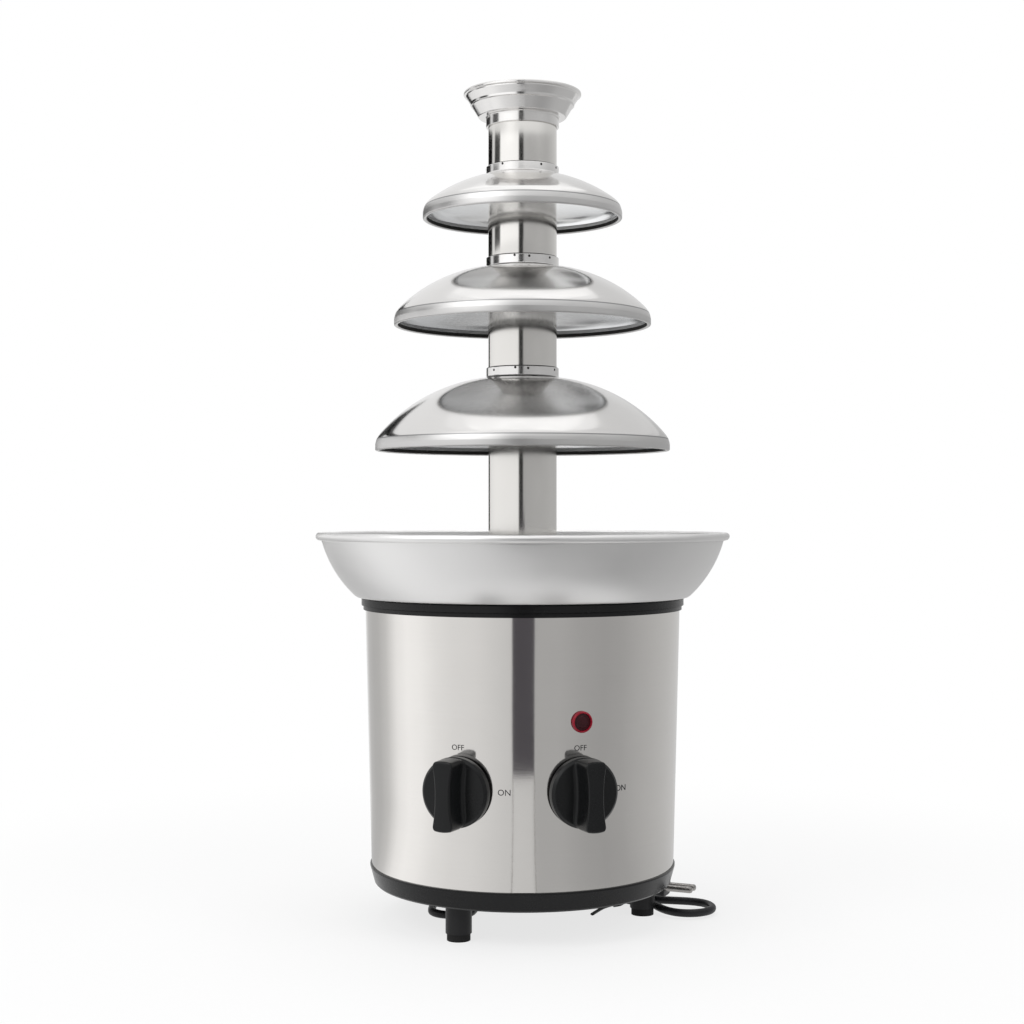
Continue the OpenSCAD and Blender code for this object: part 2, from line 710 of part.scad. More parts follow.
// Frame inside the base
module deck_plate() {
    color([0.62, 0.63, 0.65]) difference() {
        translate([0, 0, deck_z]) cylinder(r = deck_r, h = deck_t);
        translate([0, 0, deck_z - 1]) cylinder(r = bush_r + hole_gap, h = deck_t + 2, $fn = 48);
        around(stud_angle, stud_circle_r) translate([0, 0, deck_z - 1]) {
            cylinder(r = screw_r + slip / 2, h = deck_t + 2, $fn = 32);
        }
        around(rod_angle, rod_circle_r) translate([0, 0, deck_z - 1]) {
            cylinder(r = screw_r + slip / 2, h = deck_t + 2, $fn = 32);
        }
        along_train() for (p = case_lugs) translate([p[0], p[1], deck_z - 1]) {
            cylinder(r = screw_r + slip / 2, h = deck_t + 2, $fn = 32);
        }
        rotate(leg_angle) translate([0, -52, deck_z - 1]) cylinder(r = 8, h = deck_t + 2);
    }
}

module tie_rods() {
    rod_z = pan_z + pan_floor;
    rod_h = deck_z - rod_z;
    color([0.66, 0.66, 0.68]) around(rod_angle, rod_circle_r) translate([0, 0, rod_z]) difference() {
        cylinder(r = rod_r, h = rod_h, $fn = 48);
        translate([0, 0, -1]) cylinder(r = screw_r + slip / 2, h = thread_depth + 1, $fn = 32);
        translate([0, 0, rod_h - thread_depth]) cylinder(r = screw_r + slip / 2, h = rod_h, $fn = 32);
    }
}

module deck_screws() {
    color([0.7, 0.7, 0.72]) around(rod_angle, rod_circle_r) translate([0, 0, deck_top]) {
        rotate([180, 0, 0]) screw_up(deck_t + thread_depth - 1);
    }
}

// Plan of the gear case, grown by an amount, as a solid of height h
module case_plan(grow, h) {
    r = case_in_r + grow;
    cylinder(r = r, h = h);
    translate([0, gear_step, 0]) cylinder(r = r, h = h);
    translate([-r, 0, 0]) cube([2 * r, gear_step, h]);
    translate([0, 2 * gear_step, 0]) cylinder(r = case_nose_r + grow, h = h);
    translate([-case_nose_r - grow, gear_step, 0]) cube([2 * (case_nose_r + grow), gear_step, h]);
}

module gear_case() {
    color([0.55, 0.56, 0.58]) along_train() difference() {
        translate([0, 0, case_z]) {
            case_plan(case_wall, case_h);
            for (p = case_lugs) translate([p[0], p[1], 0]) cylinder(r = case_lug_r, h = case_h, $fn = 48);
        }
        translate([0, 0, case_z - 1]) case_plan(0, case_h - case_top_t + 1);
        translate([0, 0, case_z]) cylinder(r = bush_r + slip / 4, h = case_h + 1, $fn = 48);
        translate([0, gear_step, case_z]) cylinder(r = gear_pin_r + slip / 4, h = case_h - 1, $fn = 48);
        for (p = case_lugs) translate([p[0], p[1], case_z - 1]) {
            cylinder(r = screw_r + slip / 2, h = case_h + 2, $fn = 32);
        }
    }
}

module gear_cover() {
    color([0.55, 0.56, 0.58]) along_train() difference() {
        translate([0, 0, cover_z]) {
            case_plan(case_wall, cover_t);
            for (p = case_lugs) translate([p[0], p[1], 0]) cylinder(r = case_lug_r, h = cover_t, $fn = 48);
        }
        translate([0, 0, cover_z - 1]) cylinder(r = bush_r + slip / 4, h = cover_t + 2, $fn = 48);
        translate([0, gear_step, cover_z - 1]) {
            cylinder(r = gear_pin_r + slip / 4, h = cover_t + 2, $fn = 48);
        }
        translate([0, 2 * gear_step, cover_z - 1]) {
            cylinder(r = rotor_shaft_r + 1, h = cover_t + 2, $fn = 48);
        }
        for (p = case_lugs) translate([p[0], p[1], cover_z - 1]) {
            cylinder(r = screw_r + slip / 2, h = cover_t + 2, $fn = 32);
        }
    }
}

module case_screws() {
    color([0.7, 0.7, 0.72]) along_train() for (p = case_lugs) translate([p[0], p[1], cover_z]) {
        screw_up(cover_t + case_h + deck_t);
    }
}

module upper_bush() {
    color([0.72, 0.52, 0.25]) translate([0, 0, deck_z - case_top_t]) {
        ring_solid(bush_r, shaft_r + run_gap, case_top_t + deck_t + 2);
    }
}

module lower_bush() {
    color([0.72, 0.52, 0.25]) translate([0, 0, cover_z]) difference() {
        cylinder(r = bush_r, h = cover_t + 1, $fn = 48);
        translate([0, 0, 1]) cylinder(r = shaft_r + run_gap, h = cover_t + 2, $fn = 48);
    }
}

module gear_pin() {
    color([0.7, 0.7, 0.72]) along_train() translate([0, gear_step, cover_z]) {
        cylinder(r = gear_pin_r, h = cover_t + case_h - 1.2, $fn = 48);
    }
}

// A wheel on the axis shows a tooth towards the train, and its partner shows a gap
module intermediate_gear() {
    color([0.92, 0.91, 0.86]) along_train() translate([0, gear_step, 0]) difference() {
        union() {
            translate([0, 0, wheel_low_z]) rotate(90) gear(wheel_teeth, wheel_t);
            translate([0, 0, wheel_low_z + wheel_t]) {
                rotate(-90 + 180 / pinion_teeth) gear(pinion_teeth, pinion_t);
            }
        }
        translate([0, 0, wheel_low_z - 1]) {
            cylinder(r = gear_pin_r + run_gap, h = wheel_t + pinion_t + 2, $fn = 48);
        }
    }
}

module output_gear() {
    color([0.92, 0.91, 0.86]) along_train() difference() {
        translate([0, 0, wheel_high_z]) rotate(90) gear(wheel_teeth, wheel_t);
        translate([0, 0, wheel_high_z - 1]) cylinder(r = shaft_r + slip / 4, h = wheel_t + 2, $fn = 48);
    }
}

module drive_shaft() {
    shaft_z = cover_z + 1.2;
    color([0.78, 0.78, 0.79]) difference() {
        union() {
            translate([0, 0, shaft_z]) cylinder(r = shaft_r, h = shaft_top_z - shaft_z - 1, $fn = 64);
            translate([0, 0, shaft_top_z - 1]) cylinder(r1 = shaft_r, r2 = shaft_r - 1, h = 1, $fn = 64);
        }
        translate([0, 0, cross_pin_z]) rotate([0, 90, 0]) {
            cylinder(r = cross_pin_r + slip / 4, h = 4 * shaft_r, center = true, $fn = 32);
        }
    }
}

module cross_pin() {
    color([0.78, 0.78, 0.79]) translate([0, 0, cross_pin_z]) rotate([0, 90, 0]) {
        cylinder(r = cross_pin_r, h = cross_pin_len, center = true, $fn = 32);
    }
}

module at_motor() {
    along_train() translate([0, 2 * gear_step, 0]) children();
}

module motor_can() {
    color([0.7, 0.71, 0.72]) at_motor() translate([0, 0, can_z]) difference() {
        cylinder(r = can_r, h = can_h);
        translate([0, 0, -1]) cylinder(r = can_r - can_wall, h = can_h - 2 + 1);
        cylinder(r = rotor_shaft_r + run_gap, h = can_h + 1, $fn = 48);
    }
}

module motor_end_cap() {
    color([0.12, 0.12, 0.13]) at_motor() translate([0, 0, can_z - cap_h + cap_rim_h]) difference() {
        union() {
            cylinder(r = can_r, h = cap_h - cap_rim_h);
            cylinder(r = can_r - can_wall - slip, h = cap_h);
            for (x = [-tab_x, tab_x]) {
                translate([x - tab_size[0] / 2, -tab_size[1] / 2, 1 - tab_size[2]]) cube(tab_size);
            }
        }
        translate([0, 0, 1]) cylinder(r = rotor_shaft_r + run_gap, h = cap_h, $fn = 48);
    }
}

module motor_magnets() {
    color([0.25, 0.25, 0.27]) at_motor() translate([0, 0, can_z + magnet_inset]) {
        for (turn = [0, 180]) rotate(turn - 60) {
            rotate_extrude(angle = 120) {
                translate([can_r - can_wall - magnet_t - 0.1, 0]) {
                    square([magnet_t, can_h - 2 * magnet_inset]);
                }
            }
        }
    }
}

module motor_shaft() {
    core_r = can_r - can_wall - magnet_t - 1;
    color([0.66, 0.5, 0.38]) at_motor() {
        translate([0, 0, can_z + core_inset]) cylinder(r = core_r, h = can_h - 2 * core_inset);
        translate([0, 0, can_z - rotor_foot]) {
            cylinder(r = rotor_shaft_r, h = wheel_low_z + wheel_t - can_z + rotor_foot, $fn = 48);
        }
    }
}

module motor_pinion() {
    color([0.72, 0.52, 0.25]) at_motor() translate([0, 0, wheel_low_z - 0.5]) difference() {
        rotate(-90 + 180 / pinion_teeth) gear(pinion_teeth, wheel_t + 1);
        translate([0, 0, -1]) cylinder(r = rotor_shaft_r + slip / 4, h = wheel_t + 3, $fn = 48);
    }
}

// Screw: a flight wound round a core, with a slotted hub on the shaft
module flight() {
    turns = (flight_top_z - flight_z - flight_t) / flight_pitch;
    n = ceil(turns * flight_steps);
    root_r = auger_core_r - 0.6;
    corners = [[root_r, 0], [root_r, flight_t], [flight_r, flight_t], [flight_r, 0]];
    rings = [for (i = [0:n], c = corners) let (a = 360 * turns * i / n)
        [c[0] * cos(a), c[0] * sin(a), c[1] + turns * flight_pitch * i / n]];
    translate([0, 0, flight_z]) polyhedron(rings, tube_faces(n + 1, 4));
}

module auger() {
    color([0.93, 0.92, 0.88]) difference() {
        union() {
            translate([0, 0, auger_z]) cylinder(r = auger_hub_r, h = hub_h);
            translate([0, 0, auger_z]) cylinder(r = auger_core_r, h = auger_top_z - auger_z);
            flight();
        }
        translate([0, 0, auger_z - 1]) {
            cylinder(r = shaft_r + auger_fit, h = shaft_top_z - auger_z + 2, $fn = 64);
        }
        translate([-flight_r - 1, -cross_pin_r - slip, auger_z - 1]) {
            cube([2 * flight_r + 2, 2 * (cross_pin_r + slip), cross_pin_z - auger_z + cross_pin_r + 1.1]);
        }
    }
}

// Tower
module column_tube(z, top) {
    translate([0, 0, z]) ring_solid(tube_r, tube_bore_r, top - z);
}

module lower_tube() {
    color([0.8, 0.8, 0.8]) difference() {
        column_tube(bowl_floor_z, large_seat_z);
        around(0, 0) translate([0, 0, bowl_floor_z]) rotate([90, 0, 0]) {
            cylinder(r = inlet_r, h = 2 * tube_r, $fn = 64);
        }
    }
}

module tier(rim_r, rim_z, top_z, bulge, collar_h) {
    start = [collar_r, top_z];
    shoulder = [rim_r - shoulder_w, rim_z + shoulder_h];
    brim = [rim_r, rim_z + skirt_h];
    dome = arc_points(start, shoulder, bulge);
    turn = arc_points(shoulder, brim, shoulder_bulge, 0, shoulder_steps);
    dome_under = arc_points(start, shoulder, bulge, tier_wall);
    turn_under = arc_points(shoulder, brim, shoulder_bulge, tier_wall, shoulder_steps);
    outer = concat(dome, [for (i = [1:shoulder_steps]) turn[i]]);
    inner = concat(
        [for (i = [0:dome_steps - 1]) dome_under[i]],
        [for (i = [1:shoulder_steps]) turn_under[i]]);
    rotate_extrude() polygon(concat(
        [[collar_bore_r, top_z - tier_wall], [collar_bore_r, top_z + collar_h]],
        [[collar_r, top_z + collar_h]],
        outer, [[rim_r, rim_z], [rim_r - hem_w, rim_z], [rim_r - hem_w, rim_z + hem_h]], reversed(inner)));
}

module large_tier() {
    color([0.82, 0.82, 0.82]) tier(large_r, large_rim_z, large_top_z, large_bulge, large_collar_h);
}

module middle_tube() {
    color([0.8, 0.8, 0.8]) column_tube(large_seat_z, medium_seat_z);
}

module medium_tier() {
    color([0.82, 0.82, 0.82]) tier(medium_r, medium_rim_z, medium_top_z, medium_bulge, medium_collar_h);
}

module upper_tube() {
    color([0.8, 0.8, 0.8]) column_tube(medium_seat_z, small_seat_z);
}

module small_tier() {
    color([0.82, 0.82, 0.82]) tier(small_r, small_rim_z, small_top_z, small_bulge, small_collar_h);
}

module top_tube() {
    color([0.8, 0.8, 0.8]) column_tube(small_seat_z, crown_seat_z);
}

module crown() {
    bore = tube_r + slip / 4;
    sleeve_r = tube_r + slip / 4 + crown_wall;
    step_r = (cup_low_r + crown_r) / 2;
    step_z = cup_z + 0.45 * cup_h;
    lip_z = crown_top_z - 1.6;
    color([0.82, 0.82, 0.82]) rotate_extrude() polygon([
        [bore, sleeve_z], [sleeve_r, sleeve_z], [sleeve_r, cup_z], [cup_low_r, cup_z],
        [step_r - 0.4, step_z], [step_r + 0.4, step_z + 0.4], [step_r + 0.5, step_z + 1.6],
        [step_r + 1.4, step_z + 3], [crown_r - 1, lip_z - 0.6], [crown_r, lip_z],
        [crown_r, crown_top_z - 0.3],
        [crown_r - 0.4, crown_top_z], [crown_r - 2, crown_top_z], [step_r, step_z + 2.2],
        [cup_low_r - 1, cup_z + 2.6], [tube_bore_r, cup_z + 2.6], [tube_bore_r, crown_seat_z],
        [bore, crown_seat_z]]);
}

// Controls
module rotary_switch() {
    difference() {
        union() {
            translate([-switch_size[0] / 2, -switch_size[1] / 2, switch_front_r - switch_size[2]]) {
                cube(switch_size);
            }
            cylinder(r = neck_r, h = neck_end_r, $fn = 48);
            translate([0, 0, switch_front_r]) cylinder(r = shoulder_r, h = shoulder_end_r - switch_front_r);
            for (x = [-6, 0, 6]) {
                translate([x - 2, -0.4, switch_front_r - switch_size[2] - 6]) cube([4, 0.8, 7]);
            }
        }
        translate([0, 0, -1]) {
            cylinder(r = neck_r + 1, h = switch_front_r - switch_size[2] - 6 + 1, $fn = 48);
        }
        translate([0, 0, switch_front_r - switch_size[2] + 4]) {
            cylinder(r = stem_r + run_gap, h = switch_size[2] + 30, $fn = 48);
        }
    }
}

module switch_stem() {
    start = switch_front_r - switch_size[2] + 4.3;
    difference() {
        translate([0, 0, start]) cylinder(r = stem_r, h = stem_end_r - start, $fn = 48);
        translate([-stem_r, stem_r - 1, neck_end_r + 0.5]) cube([2 * stem_r, 2, stem_end_r]);
    }
}

module knob() {
    grip_len = 2 * knob_r;
    hollow_r = (knob_r * knob_r + grip_waist * grip_waist) / (2 * grip_waist);
    difference() {
        union() {
            translate([0, 0, knob_back_r]) cylinder(r = knob_r, h = knob_disc_t);
            translate([0, 0, knob_front_r]) ring_solid(knob_r, knob_r - knob_rim_w, knob_rim_h);
            intersection() {
                translate([-grip_w / 2, -knob_r, knob_front_r - 1]) cube([grip_w, grip_len, grip_h + 1]);
                translate([0, 0, knob_front_r - 1]) cylinder(r = knob_r, h = grip_h + 1);
                translate([0, 0, knob_front_r - 1]) difference() {
                    translate([-grip_w, -grip_len, 0]) cube([2 * grip_w, 2 * grip_len, grip_h + 1]);
                    for (side = [-1, 1]) {
                        translate([side * (grip_w / 2 - grip_waist + hollow_r), 0, knob_rim_h + 1]) {
                            cylinder(r = hollow_r, h = grip_h + 1, $fn = 128);
                        }
                    }
                }
            }
        }
        translate([0, 0, knob_back_r - 1]) {
            cylinder(r = switch_nut_af / 2 / cos(30) + 1, h = neck_end_r - knob_back_r + 1.6, $fn = 48);
        }
        translate([0, 0, knob_back_r]) {
            cylinder(r = stem_r + slip / 4, h = stem_end_r - knob_back_r + 0.3, $fn = 48);
        }
    }
}

module motor_switch() {
    color([0.2, 0.2, 0.22]) on_panel(-knob_angle, knob_z) rotary_switch();
}

module heat_switch() {
    color([0.2, 0.2, 0.22]) on_panel(knob_angle, knob_z) rotary_switch();
}

module panel_nuts() {
    color([0.7, 0.7, 0.72]) {
        for (side = [-1, 1]) on_panel(side * knob_angle, knob_z) {
            translate([0, 0, switch_nut_r]) hex_nut(switch_nut_af, switch_nut_t, neck_r + slip / 2);
        }
        on_panel(knob_angle, lamp_z) translate([0, 0, lamp_face_r - wrap_wall - 0.7 - lamp_nut_t]) {
            hex_nut(lamp_nut_af, lamp_nut_t, lamp_barrel_r + slip / 2);
        }
    }
}

module motor_stem() {
    color([0.7, 0.7, 0.72]) on_panel(-knob_angle, knob_z) switch_stem();
}

module heat_stem() {
    color([0.7, 0.7, 0.72]) on_panel(knob_angle, knob_z) switch_stem();
}

module motor_knob() {
    color([0.04, 0.04, 0.04]) on_panel(-knob_angle, knob_z) knob();
}

module heat_knob() {
    color([0.04, 0.04, 0.04]) on_panel(knob_angle, knob_z) knob();
}

module lamp_lens() {
    flange_r = lamp_face_r + 0.4;
    color([0.75, 0.08, 0.06]) on_panel(knob_angle, lamp_z) translate([0, 0, flange_r]) {
        cylinder(r = lens_r, h = 1.6);
        translate([0, 0, 1.6]) cylinder(r1 = lens_r - 0.8, r2 = lens_r - 2, h = 1.6);
    }
}

module lamp_body() {
    barrel_end = lamp_face_r + 0.4;
    color([0.15, 0.15, 0.16]) on_panel(knob_angle, lamp_z) {
        translate([0, 0, barrel_end - lamp_barrel_len]) {
            cylinder(r = lamp_barrel_r, h = lamp_barrel_len, $fn = 48);
            for (x = [-2.2, 2.2]) translate([x - 1, -0.4, -5]) cube([2, 0.8, 6]);
        }
    }
}

module terminal_block() {
    color([0.9, 0.89, 0.85]) translate([-14, 46, pan_z + pan_floor]) difference() {
        cube([28, 14, 12]);
        for (x = [5, 14, 23]) translate([x, 3.5, 6]) cylinder(r = 2, h = 7, $fn = 32);
        for (x = [5, 14, 23]) translate([x, 10.5, 6]) cylinder(r = 2, h = 7, $fn = 32);
    }
}

module wiring() {
    color([0.3, 0.3, 0.32]) {
        tube(inner_lead, cord_r, 8);
        for (route = wire_routes) tube(route, wire_r, 6);
    }
}

// Mains lead
module strain_relief() {
    color([0.06, 0.06, 0.06]) on_panel(180, relief_z) {
        translate([0, 0, relief_r - wrap_wall - 3]) cylinder(r = relief_flange_r, h = 2, $fn = 48);
        translate([0, 0, relief_r - wrap_wall - 3]) cylinder(r = 5, h = 8, $fn = 48);
        translate([0, 0, relief_r + 0.5]) cylinder(r = 7.5, h = 3, $fn = 48);
        translate([0, 0, relief_r + 3]) {
            cylinder(r1 = 5.5, r2 = 3.4, h = relief_end - relief_r - 3, $fn = 48);
        }
    }
}

module cord_lead() {
    route = concat(lead_route, [hank_start]);
    color([0.05, 0.05, 0.05]) tube(route, cord_r, 8);
}

module cord_hank() {
    color([0.05, 0.05, 0.05]) tube(hank_route, cord_r, 6);
}

module cord_tail() {
    color([0.05, 0.05, 0.05]) tube(tail_route, cord_r, 8);
}

module cord_tie() {
    front = -hank_waist_step * (0.5 + hank_waist_shift) - cord_r - tie_gap;
    back = hank_waist_step * (1 + hank_waist_shift) + cord_r + tie_gap;
    low = hank_z - cord_r - tie_gap;
    high = hank_z + cord_r + tie_gap;
    tail = [
        [0, front - tie_t / 2, 2], [-1, front - 4, 1.8], [-2, front - 9, 1.5], [-2, front - 20, 1.1],
        [3, front - 36, 1.1]];
    color([0.08, 0.08, 0.08]) translate([hank_centre[0], hank_centre[1], 0]) rotate(hank_angle) {
        translate([-tie_w / 2, 0, 0]) rotate([90, 0, 90]) linear_extrude(tie_w) difference() {
            translate([front - tie_t, low - tie_t]) {
                square([back - front + 2 * tie_t, high - low + 2 * tie_t]);
            }
            translate([front, low]) square([back - front, high - low]);
        }
        tube(tail, tie_tail_r, 6);
    }
}

module plug() {
    color([0.05, 0.05, 0.05]) translate(plug_start) rotate(plug_angle) rotate([0, 90, 0]) {
        cylinder(r1 = cord_r + 0.9, r2 = plug_t / 2 - 1, h = boot_len, $fn = 48);
        translate([0, 0, boot_len - 0.5]) linear_extrude(plug_len - boot_len + 0.5) {
            square([plug_t, plug_w], center = true);
        }
    }
}

module plug_pins() {
    color([0.75, 0.75, 0.76]) translate(plug_start) rotate(plug_angle) rotate([0, 90, 0]) {
        for (side = [-1, 1]) translate([0, side * plug_pin_pitch / 2, plug_len]) {
            cylinder(r = plug_pin_r, h = plug_pin_len, $fn = 32);
        }
    }
}

leg_tips();
legs();
base_screws();
bottom_pan();
stainless_wrap();
top_ring();
bowl();
locating_pegs();
bowl_studs();
bowl_nuts();
shaft_seal();
heater_plate();
heater_element();
thermostat();
thermal_fuse();
deck_plate();
tie_rods();
deck_screws();
gear_case();
gear_cover();
case_screws();
upper_bush();
lower_bush();
gear_pin();
intermediate_gear();
output_gear();
drive_shaft();
cross_pin();
motor_can();
motor_end_cap();
motor_magnets();
motor_shaft();
motor_pinion();
auger();
lower_tube();
large_tier();
middle_tube();
medium_tier();
upper_tube();
small_tier();
top_tube();
crown();
motor_switch();
heat_switch();
panel_nuts();
motor_stem();
heat_stem();
motor_knob();
heat_knob();
lamp_lens();
lamp_body();
terminal_block();
wiring();
strain_relief();
cord_lead();
cord_hank();
cord_tail();
cord_tie();
plug();
plug_pins();
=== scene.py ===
# %% [markdown]
# # Dressing a chocolate fountain
# The packed model arrives with every solid in its place, in metres, with Z up. This lesson adds
# what the solids leave out: smooth spun metal, moulded plastic, a real mains lead, finishes,
# a small studio and the camera of the photograph. Nothing here changes a size. One helper links
# each new object into the scene.

# %% Load the frame
from math import asin, atan2, cos, hypot, pi, radians, sin, sqrt

import bmesh
import bpy
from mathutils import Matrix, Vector


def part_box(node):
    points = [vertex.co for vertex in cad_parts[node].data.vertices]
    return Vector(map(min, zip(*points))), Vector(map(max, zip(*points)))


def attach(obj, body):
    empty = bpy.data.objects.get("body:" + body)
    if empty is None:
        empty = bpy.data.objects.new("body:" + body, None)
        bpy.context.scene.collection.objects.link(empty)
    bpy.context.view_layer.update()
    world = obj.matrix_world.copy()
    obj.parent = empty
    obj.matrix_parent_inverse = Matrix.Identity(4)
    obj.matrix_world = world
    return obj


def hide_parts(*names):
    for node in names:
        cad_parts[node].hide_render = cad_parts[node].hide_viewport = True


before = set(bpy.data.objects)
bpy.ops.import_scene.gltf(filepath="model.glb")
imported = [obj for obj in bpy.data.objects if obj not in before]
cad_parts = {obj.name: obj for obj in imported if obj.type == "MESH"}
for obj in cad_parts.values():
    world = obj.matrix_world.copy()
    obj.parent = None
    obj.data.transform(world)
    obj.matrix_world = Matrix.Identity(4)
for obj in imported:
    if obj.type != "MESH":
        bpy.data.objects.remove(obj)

scene = bpy.context.scene
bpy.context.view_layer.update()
MM = 0.001


def add_object(name, data):
    """An object of that data, linked into the scene."""
    made = bpy.data.objects.new(name, data)
    scene.collection.objects.link(made)
    return made


# %% [markdown]
# The camera comes first, because every later choice is judged through it. The photograph was
# taken level, from a little under a metre away, at about half the fountain's height, with a
# short telephoto lens. The upright edges stay parallel, so the camera has no tilt and no shift.
# It stands a degree to the right of the front, which shows as the knobs sitting left of middle.

# %% Place the camera
camera_data = bpy.data.cameras.new("photo_camera")
camera_data.sensor_width = 36
camera_data.lens = 59.8
camera = add_object("photo_camera", camera_data)
swing = radians(1.3)
camera_distance, camera_left, camera_height = 0.993, 0.0061, 0.2345
to_camera = Vector((sin(swing), -cos(swing), 0))
camera_right = Vector((cos(swing), sin(swing), 0))
camera.location = to_camera * camera_distance - camera_right * camera_left + Vector((0, 0, camera_height))
camera.rotation_euler = (pi / 2, 0, swing)
scene.camera = camera
print("camera at", [round(c, 4) for c in camera.location])

# %% [markdown]
# The mains lead leaves a strain relief at the back, drops to the table, runs forward under the
# base between the legs, turns back and goes into a hank that lies half under the base. A curve
# with a round bevel is the natural tool: one line that bends everywhere and is equally thick.
# The route repeats the solids' own points, and a line through points (Catmull-Rom) rounds it.

# %% The route of the lead
def line_through(points, steps, before=None, after=None):
    """A smooth line through every point; before and after give its direction at the ends."""
    chain = [before or points[0], *points, after or points[-1]]
    line = []
    for a4, b4, c4, d4 in zip(chain, chain[1:], chain[2:], chain[3:]):
        for k in range(steps):
            t = k / steps
            line.append(tuple(
                0.5 * (2 * b + (c - a) * t + (2 * a - 5 * b + 4 * c - d) * t ** 2
                       + (3 * b - a - 3 * c + d) * t ** 3)
                for a, b, c, d in zip(a4, b4, c4, d4)))
    return line + [tuple(points[-1])]


cord_d = 4.6
lead_route = [
    (0, 114, 45), (0, 124, 44.4), (-2, 136, 39), (-7, 147, 29), (-15, 155, 17), (-25, 158, 8),
    (-35, 156, 3.5), (-44, 149, 2.5), (-51, 138, 2.5), (-55, 124, 2.5), (-57, 106, 2.5),
    (-57, 84, 2.5), (-56, 60, 2.5), (-54.5, 36, 2.5), (-53, 14, 2.5), (-52.8, -2.3, 2.5),
    (-51.2, -8.4, 2.5), (-46.7, -12.9, 2.5), (-40.6, -14.5, 2.5), (-34.5, -12.9, 2.5),
    (-30, -8.4, 2.5), (-28.4, -2.3, 2.5), (-27, 8, 2.5), (-23.5, 20, 2.5), (-19, 32, 2.5),
    (-13.5, 44, 2.5), (-8.5, 55, 2.5), (-4.5, 64, 2.5), (-0.5, 72, 2.8), (6.5, 78.5, 3.2),
    (16.5, 81.3, 3.6), (27.3, 79, 3.6)]
print("points on the lead before the hank:", len(lead_route))

# %% [markdown]
# A hank is a lead folded to and fro, with a tie round its waist. Here it is one long loop: two runs
# and two round folds. The loop spirals inwards a little, and its last fold climbs over the first
# run, so no stretch has to pass through another.

# %% The hank
hank_centre, hank_angle, half_run, waist_half = (64.9, 28.3), radians(-40), 40, 9
fold_r, end_r, hank_step, waist_step, waist_shift = 11.5, 15.6, 5.2, 2, 0.9
hank_lift, hank_z, run_rings, fold_rings = 5.1, 3.6, 5, 7
last_ring = 2 * (run_rings + fold_rings)


def smooth(t):
    t = min(max(t, 0), 1)
    return t * t * (3 - 2 * t)


def hank_local(i):
    """Where ring i of the hank lies, in the hank's own frame."""
    climb = smooth((i - last_ring + fold_rings) / fold_rings)
    r = fold_r + hank_step * (1 - i / last_ring)
    r += (end_r - r) * climb
    j = i % last_ring
    side = 1 if j < last_ring / 2 else -1
    s = j % (last_ring / 2)
    if s < run_rings:
        along = half_run * (2 * s / run_rings - 1)
        waist = waist_step * ((r - fold_r) / hank_step + waist_shift)
        flare = smooth((abs(along) - waist_half) / (half_run - waist_half))
        x, y = along, waist + (r - waist) * flare
    else:
        a = radians(90 - 180 * (s - run_rings) / fold_rings)
        x, y = half_run + r * cos(a), r * sin(a)
    return side * x, side * y, hank_z + hank_lift * climb


def hank_place(p):
    c, s = cos(hank_angle), sin(hank_angle)
    return hank_centre[0] + p[0] * c - p[1] * s, hank_centre[1] + p[0] * s + p[1] * c, p[2]


hank_inner = [hank_local(k / 4) for k in range(4 * last_ring + 1)]
hank_first, hank_last = hank_inner[0], hank_inner[-1]
hank_start = hank_place((hank_first[0] - cord_d, hank_first[1], hank_first[2]))
hank_end = hank_place((hank_last[0] + cord_d, hank_last[1], hank_last[2]))
hank_route = [hank_place(p) for p in hank_inner]
print("hank points:", len(hank_route))

# %% [markdown]
# The tail leaves the hank and enters the plug's boot. All three stretches are joined to one line,
# so the lead is one open spline with no seams. Of such a lead the photograph shows only a part,
# so its length is what such an appliance has. The bevel is one metre, and each point's own radius
# brings it down to the lead's, which keeps its box tight.

# %% One smooth lead
plug_entry = hank_place((-22, 18, 6.4))
plug_angle = hank_angle + radians(18)
plug_along = (cos(plug_angle), sin(plug_angle), 0)
hank_along = (cos(hank_angle), sin(hank_angle), 0)
straight = 4
plug_near = tuple(p - straight * d for p, d in zip(plug_entry, plug_along))
tail_bend = tuple(0.55 * a + 0.45 * b + c for a, b, c in zip(hank_end, plug_near, (0.5, 0.6, 0.8)))
tail_route = [hank_end, tuple(p + straight * d for p, d in zip(hank_end, hank_along)), tail_bend,
              plug_near, plug_entry]
lead_line = line_through(lead_route + [hank_start], 8, after=hank_route[0])[:-1]
tail_line = line_through(tail_route, 8, before=hank_route[-1])
lead_points = lead_line + [hank_start] + hank_route + tail_line

lead_curve = bpy.data.curves.new("mains_lead", "CURVE")
lead_curve.dimensions = "3D"
lead_curve.bevel_depth = 1.0
lead_curve.bevel_resolution = 5
lead_curve.use_fill_caps = True
lead_spline = lead_curve.splines.new("POLY")
lead_spline.points.add(len(lead_points) - 1)
for spot, place in zip(lead_spline.points, lead_points):
    spot.co = (*(c * MM for c in place), 1)
    spot.radius = cord_d / 2 * MM
lead_spline.use_smooth = True
mains_lead = add_object("mains_lead", lead_curve)
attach(mains_lead, "base")
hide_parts("cord_lead", "cord_hank", "cord_tail")

# %% [markdown]
# Most pieces of the fountain are sheet metal spun on a lathe, or moulded round an axis. Two mesh
# helpers make nearly all of them: a loft joins a stack of rings with faces, and a lathe turns one
# closed outline round the upright axis.

